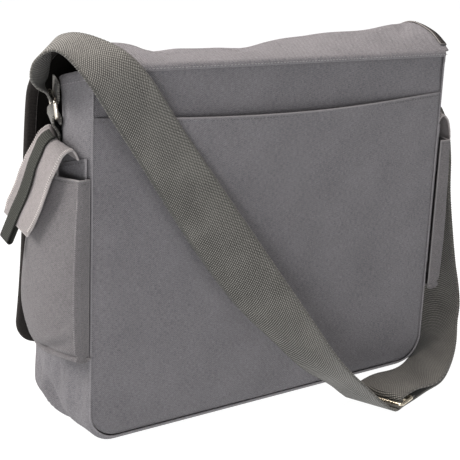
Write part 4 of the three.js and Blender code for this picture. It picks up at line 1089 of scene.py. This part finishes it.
def webbing_finish(name, dark, light, wear_and_shade_colour, rib=2.1, skew=0.42):
    """Thick cotton webbing: broad ribs laid askew across it, each a row of plump floats with dark gaps, and
    its edges darkened with painted shade.
    """
    finish = Finish(name)
    place = finish.node("ShaderNodeAttribute", {"attribute_name": "cloth"}, out="Vector")
    edge = finish.node("ShaderNodeAttribute", {"attribute_name": "edge"}, out="Fac")
    parts = finish.node("ShaderNodeSeparateXYZ", {}, {"Vector": place})
    along = Value(finish, parts.socket.node.outputs["Y"])
    turns = (along + parts * skew) / rib
    whole = finish.node("ShaderNodeMath", {"operation": "FLOOR"}, {0: turns})
    float_turns = parts / 1.8 + whole * 0.5
    ridge = finish.node("ShaderNodeMath", {"operation": "COSINE"}, {0: (turns - whole - 0.5) * (2 * math.pi)})
    plump = finish.node("ShaderNodeMath", {"operation": "COSINE"}, {0: float_turns * (2 * math.pi)})
    floats = (ridge * 0.5 + 0.5) * (plump * 0.36 + 0.64)
    fleck = finish.noise(place, 0.8, 3.0, 0.7)
    patchy = finish.noise(place, 0.03, 2.0, 0.5)
    tone = floats * 0.95 + (fleck - 0.5) * 0.7 + (patchy - 0.5) * 0.35
    shade = finish.blend(finish.step(tone, -0.05, 0.95), dark, light)
    # Near the edges the colour goes to the darker third colour: painted shade along the strap's thick edges.
    wear_and_shade_share = finish.step(edge + (fleck - 0.5) * 0.8, 0.1, 1.0, 0.5, 0.0)
    shade = finish.blend(wear_and_shade_share, shade, wear_and_shade_colour)
    return finish.surface(shade, 0.88, height=floats + fleck * 0.3, relief=0.0007, sheen=0.15)


# The third colour is the painted shade on the strap's edges.
heavy_webbing = webbing_finish(
    "heavy_webbing", (0.022, 0.021, 0.018, 1), (0.270, 0.262, 0.238, 1), (0.080, 0.076, 0.067, 1),
)
selvedge_pitch = 2.7


def across_webbing(count=9):
    """Places across the webbing from edge to edge, closer at its edges."""
    inner = np.linspace(-0.94, 0.94, count)
    return np.concatenate([[-1.0], inner, [1.0]]) * strap_width / 2


def ribbon(centres, leans):
    """A grid over a run of webbing: its edges swell and draw in with each turn of the weft."""
    run = np.concatenate([[0], np.cumsum(np.linalg.norm(np.diff(centres, axis=0), axis=1))])
    offsets = across_webbing()
    wave = 0.34 * np.cos(2 * np.pi * run / selvedge_pitch)
    outer = np.abs(offsets) >= strap_width / 2 - 1e-6
    spread = offsets[None, :] + outer * np.sign(offsets) * wave[:, None]
    return centres[:, None, :] + leans[:, None, :] * spread[..., None]


def evened(centres, leans, pace):
    """Stations of a run spaced evenly along it."""
    run = np.concatenate([[0], np.cumsum(np.linalg.norm(np.diff(centres, axis=0), axis=1))])
    s = np.arange(0, run[-1], pace)
    pick = lambda field: np.stack([np.interp(s, run, field[:, k]) for k in range(3)], -1)
    return pick(centres), unit(pick(leans))


tab_start = side_flap_root - 8
tab_rise = ring_foot[2] - tab_start
tab_across = across_webbing(15)
climb = np.linspace(0, 0.88, 50)
loop_turn = np.linspace(0, np.pi, 16)[1:]
tab_tail = np.linspace(0, tab_turn_in, 8)[1:]
tab_bar = ring_foot + ring_lean * tab_across[:, None]
low_z = (tab_start + tab_rise * climb)[:, None]
low_stand = cloth_seat + tab_ease + strap_wall / 2
low = gusset_face(ring_depth + ring_lean[1] * tab_across[None, :], low_z, low_stand)
high = tab_bar + ring_outward * wrap_radius
share = ease(climb, 0.52, 0.88)[:, None, None]
tab_climb = low * (1 - share) + np.broadcast_to(high, low.shape) * share
tab_climb[..., 2] = low_z
tab_loop = tab_bar + wrap_radius * (
    ring_outward * np.cos(loop_turn)[:, None, None] + np.array((0, 0, 1)) * np.sin(loop_turn)[:, None, None]
)
tab_behind = tab_bar - ring_outward * wrap_radius - np.array((0, 0, 1)) * tab_tail[:, None, None]
tab_grid = np.concatenate([tab_climb, tab_loop, tab_behind])
for name, side in (("left", 1), ("right", -1)):
    tab = cloth(f"anchor_webbing_{name}", on_side(tab_grid, side), strap_wall)
    fitted(tab, heavy_webbing, "heavy_webbing", f"anchor_tab_{name}")

# The shoulder strap: one length of 50 mm cotton webbing. From the left ring it arches over the bag's corner,
# falls across the back, lies on the floor under the slider, climbs to the right ring and returns.
slider_length = 60.0
slider_width = 27.0
slider_wall = 3.0
slider_bar = 3.0
strap_sewn_end = 40.0
strap_route = rows(
    "x y z lean_x lean_y lean_z",
    (1.055, 0.10, 0.928, -0.40, -0.92, 0.00),
    (1.095, 0.26, 0.952, -0.60, -0.80, 0.04),
    (1.125, 0.40, 0.985, -0.69, -0.71, 0.12),
    (1.130, 0.51, 1.027, -0.68, -0.71, 0.16),
    (1.110, 0.62, 1.052, -0.63, -0.76, 0.14),
    (1.075, 0.74, 1.060, -0.66, -0.73, 0.18),
    (1.025, 0.90, 1.045, -0.70, -0.64, 0.32),
    (0.945, 1.12, 1.000, -0.82, -0.32, 0.47),
    (0.850, 1.18, 0.927, -0.82, -0.12, 0.56),
    (0.715, 1.19, 0.812, -0.81, -0.10, 0.57),
    (0.572, 1.21, 0.690, -0.81, 0.04, 0.59),
    (0.402, 1.28, 0.543, -0.75, 0.28, 0.59),
    (0.228, 1.45, 0.390, -0.60, 0.55, 0.58),
    (0.077, 1.64, 0.271, -0.34, 0.80, 0.50),
    (-0.072, 1.82, 0.158, -0.15, 0.91, 0.38),
    (-0.225, 1.92, 0.079, -0.12, 0.97, 0.20),
    (-0.305, 1.96, 0.036, -0.20, 0.97, 0.10),
    (-0.370, 1.955, 0.009, -0.34, 0.94, 0.00),
    (-0.455, 1.86, 0.004, -0.34, 0.94, 0.00),
    (-0.560, 1.76, 0.004, -0.32, 0.95, 0.00),
    (-0.700, 1.62, 0.004, -0.24, 0.97, 0.00),
    (-0.850, 1.51, 0.008, -0.15, 0.98, 0.03),
    (-1.020, 1.22, 0.020, -0.12, 0.98, 0.12),
    (-1.160, 0.90, 0.040, -0.16, 0.95, 0.26),
    (-1.250, 0.63, 0.072, -0.26, 0.89, 0.37),
    (-1.305, 0.50, 0.120, -0.22, 0.90, 0.36),
    (-1.328, 0.40, 0.180, -0.12, 0.95, 0.26),
    (-1.322, 0.31, 0.275, -0.03, 0.99, 0.10),
    (-1.297, 0.25, 0.400, 0.00, 1.00, 0.00),
    (-1.262, 0.20, 0.530, -0.06, 1.00, 0.00),
    (-1.248, 0.15, 0.650, -0.14, 0.99, 0.00),
    (-1.215, 0.09, 0.745, -0.28, 0.96, 0.00),
    (-1.170, 0.04, 0.800, -0.34, 0.94, 0.00),
)
slider_row = 18
strap_floor = strap_wall / 2 + seam_gap
fold_radius = slider_bar * 0.7072 + seam_gap + strap_wall / 2
slider_height = strap_floor + strap_wall + seam_gap + fold_radius
route = np.array([[row[key] for key in ("x", "y", "z")] for row in strap_route])
route = route * (half_width, half_depth, bag_height)
route_lean = unit(np.array([[row[key] for key in ("lean_x", "lean_y", "lean_z")] for row in strap_route]))
slider_place = np.array((route[slider_row][0], route[slider_row][1], slider_height))
slider_lean = unit(route_lean[slider_row] * (1, 1, 0))
slider_ahead = np.array((-slider_lean[1], slider_lean[0], 0.0))
route[slider_row:slider_row + 3, 2] = strap_floor
sewn = left_ring["head"] - left_ring["outward"] * wrap_radius
wrap_turn = np.pi + np.arange(5) / 4 * np.pi
wrap = left_ring["head"] + wrap_radius * (
    left_ring["outward"] * np.cos(wrap_turn)[:, None] + np.array((0, 0, 1)) * np.sin(wrap_turn)[:, None]
)
stations = np.concatenate([[sewn + (0, 0, 14)], wrap, route])
station_lean = np.concatenate([np.repeat(left_ring["lean"][None], 6, 0), route_lean])
first_rows = 6


def cord_curve(points, per, centripetal):
    """A smooth curve through points: centripetal for the line of a strap, even for its lean."""
    ends = np.concatenate([[2 * points[0] - points[1]], points, [2 * points[-1] - points[-2]]])
    found = []
    for k in range(1, len(ends) - 2):
        p0, p1, p2, p3 = ends[k - 1:k + 3]
        if centripetal:
            gaps = [max(np.linalg.norm(b - a) ** 0.5, 1e-4) for a, b in ((p0, p1), (p1, p2), (p2, p3))]
            d0, d1, d2 = gaps
            start = ((p1 - p0) / d0 - (p2 - p0) / (d0 + d1) + (p2 - p1) / d1) * d1
            finish = ((p2 - p1) / d1 - (p3 - p1) / (d1 + d2) + (p3 - p2) / d2) * d1
        else:
            start = (p2 - p0) / 2
            finish = (p3 - p1) / 2
        t = (np.arange(per) / per)[:, None]
        bend = (-3 * p1 + 3 * p2 - 2 * start - finish) * t ** 2 + (2 * p1 - 2 * p2 + start + finish) * t ** 3
        found.append(p1 + start * t + bend)
    return np.concatenate(found + [points[-1:]])


per_row = 16
line = cord_curve(stations, per_row, True)[first_rows * per_row:]
line_lean = unit(cord_curve(station_lean, per_row, False)[first_rows * per_row:])
line[:, 2] = np.maximum(line[:, 2], strap_floor + np.abs(line_lean[:, 2]) * strap_width / 2)
left_turn = np.pi + np.linspace(0, 1, 24) * np.pi
left_wrap = left_ring["head"] + wrap_radius * (
    left_ring["outward"] * np.cos(left_turn)[:, None] + np.array((0, 0, 1)) * np.sin(left_turn)[:, None]
)
right_lean = -right_ring["lean"]
right_pull = line[-1] - right_ring["head"]
right_pull = unit(right_pull - right_lean * (right_pull @ right_lean))
right_side = unit(np.cross(right_lean, right_pull))
right_turn = np.linspace(0, np.pi, 24)
right_wrap = right_ring["head"] + wrap_radius * (
    right_side * np.cos(right_turn)[:, None] - right_pull * np.sin(right_turn)[:, None]
)
rising = line[(slider_row + 1) * per_row:]
rising_lean = line_lean[(slider_row + 1) * per_row:]
rising_normal = unit(np.cross(rising_lean, np.gradient(rising, axis=0)))
away = np.linalg.norm(rising - (slider_place[0], slider_place[1], strap_floor), axis=1)
layer_step = strap_wall + seam_gap
lift = slider_height + fold_radius - strap_floor - layer_step + seam_gap
seat = layer_step + lift * (1 - ease(away, slider_width * 0.6, strap_sewn_end * 1.8)) + seam_gap * 0.25
returning = (rising + rising_normal * seat[:, None])[::-1]
bar_turn = np.pi / 2 + np.linspace(0, 1, 20) * np.pi
up = np.array((0, 0, 1.0))
over_bar = slider_place + slider_ahead * slider_width / 2 + up * fold_radius
bar_arm = slider_ahead * np.cos(bar_turn)[:, None] + up * np.sin(bar_turn)[:, None]
bar_fold = slider_place + fold_radius * bar_arm
sewn_end = slider_place + slider_ahead * strap_sewn_end * 0.6 - up * fold_radius
whole_line = np.concatenate([
    [sewn + (0, 0, 14)], left_wrap, line, right_wrap, returning, [over_bar], bar_fold, [sewn_end],
])
whole_lean = np.concatenate([
    np.repeat(left_ring["lean"][None], 25, 0), line_lean, np.repeat(right_lean[None], 24, 0),
    rising_lean[::-1], np.repeat(slider_lean[None], 22, 0),
])
strap_centres, strap_leans = evened(whole_line, whole_lean, 0.9)
shoulder_strap = cloth("shoulder_strap_webbing", ribbon(strap_centres, strap_leans), strap_wall)
fitted(shoulder_strap, heavy_webbing, "heavy_webbing", "shoulder_strap")

# The slider: a plated frame with a bar across it. The strap's sewn end folds round the bar.
# Its rounded frame is a worn, brassy plating all over, rubbed in patches.
slider_points, slider_faces = wire_loop(
    slider_place, slider_lean, slider_ahead, slider_length / 2 - 1.8, slider_width / 2 - 1.75, 3.0,
    3.6, slider_wall,
)
bar_sides = 16
bar_half = slider_length / 2 - 2.5
first = len(slider_points)
for end in (-1, 1):
    for k in range(bar_sides):
        turn = 2 * np.pi * k / bar_sides
        around = slider_ahead * np.cos(turn) + up * np.sin(turn)
        slider_points.append(slider_place + slider_lean * end * bar_half + around * slider_bar / 2)
for k in range(bar_sides):
    m = (k + 1) % bar_sides
    slider_faces.append((first + k, first + bar_sides + k, first + bar_sides + m, first + m))
slider_faces.append(tuple(first + k for k in range(bar_sides)))
slider_faces.append(tuple(first + 2 * bar_sides - 1 - k for k in range(bar_sides)))
slider = made("strap_slider", slider_points, slider_faces)
brassy_nickel = nickel_finish("brassy_nickel", (0.86, 0.78, 0.62, 1), (0.50, 0.44, 0.34, 1))
fitted(slider, brassy_nickel, "nickel", "slider")
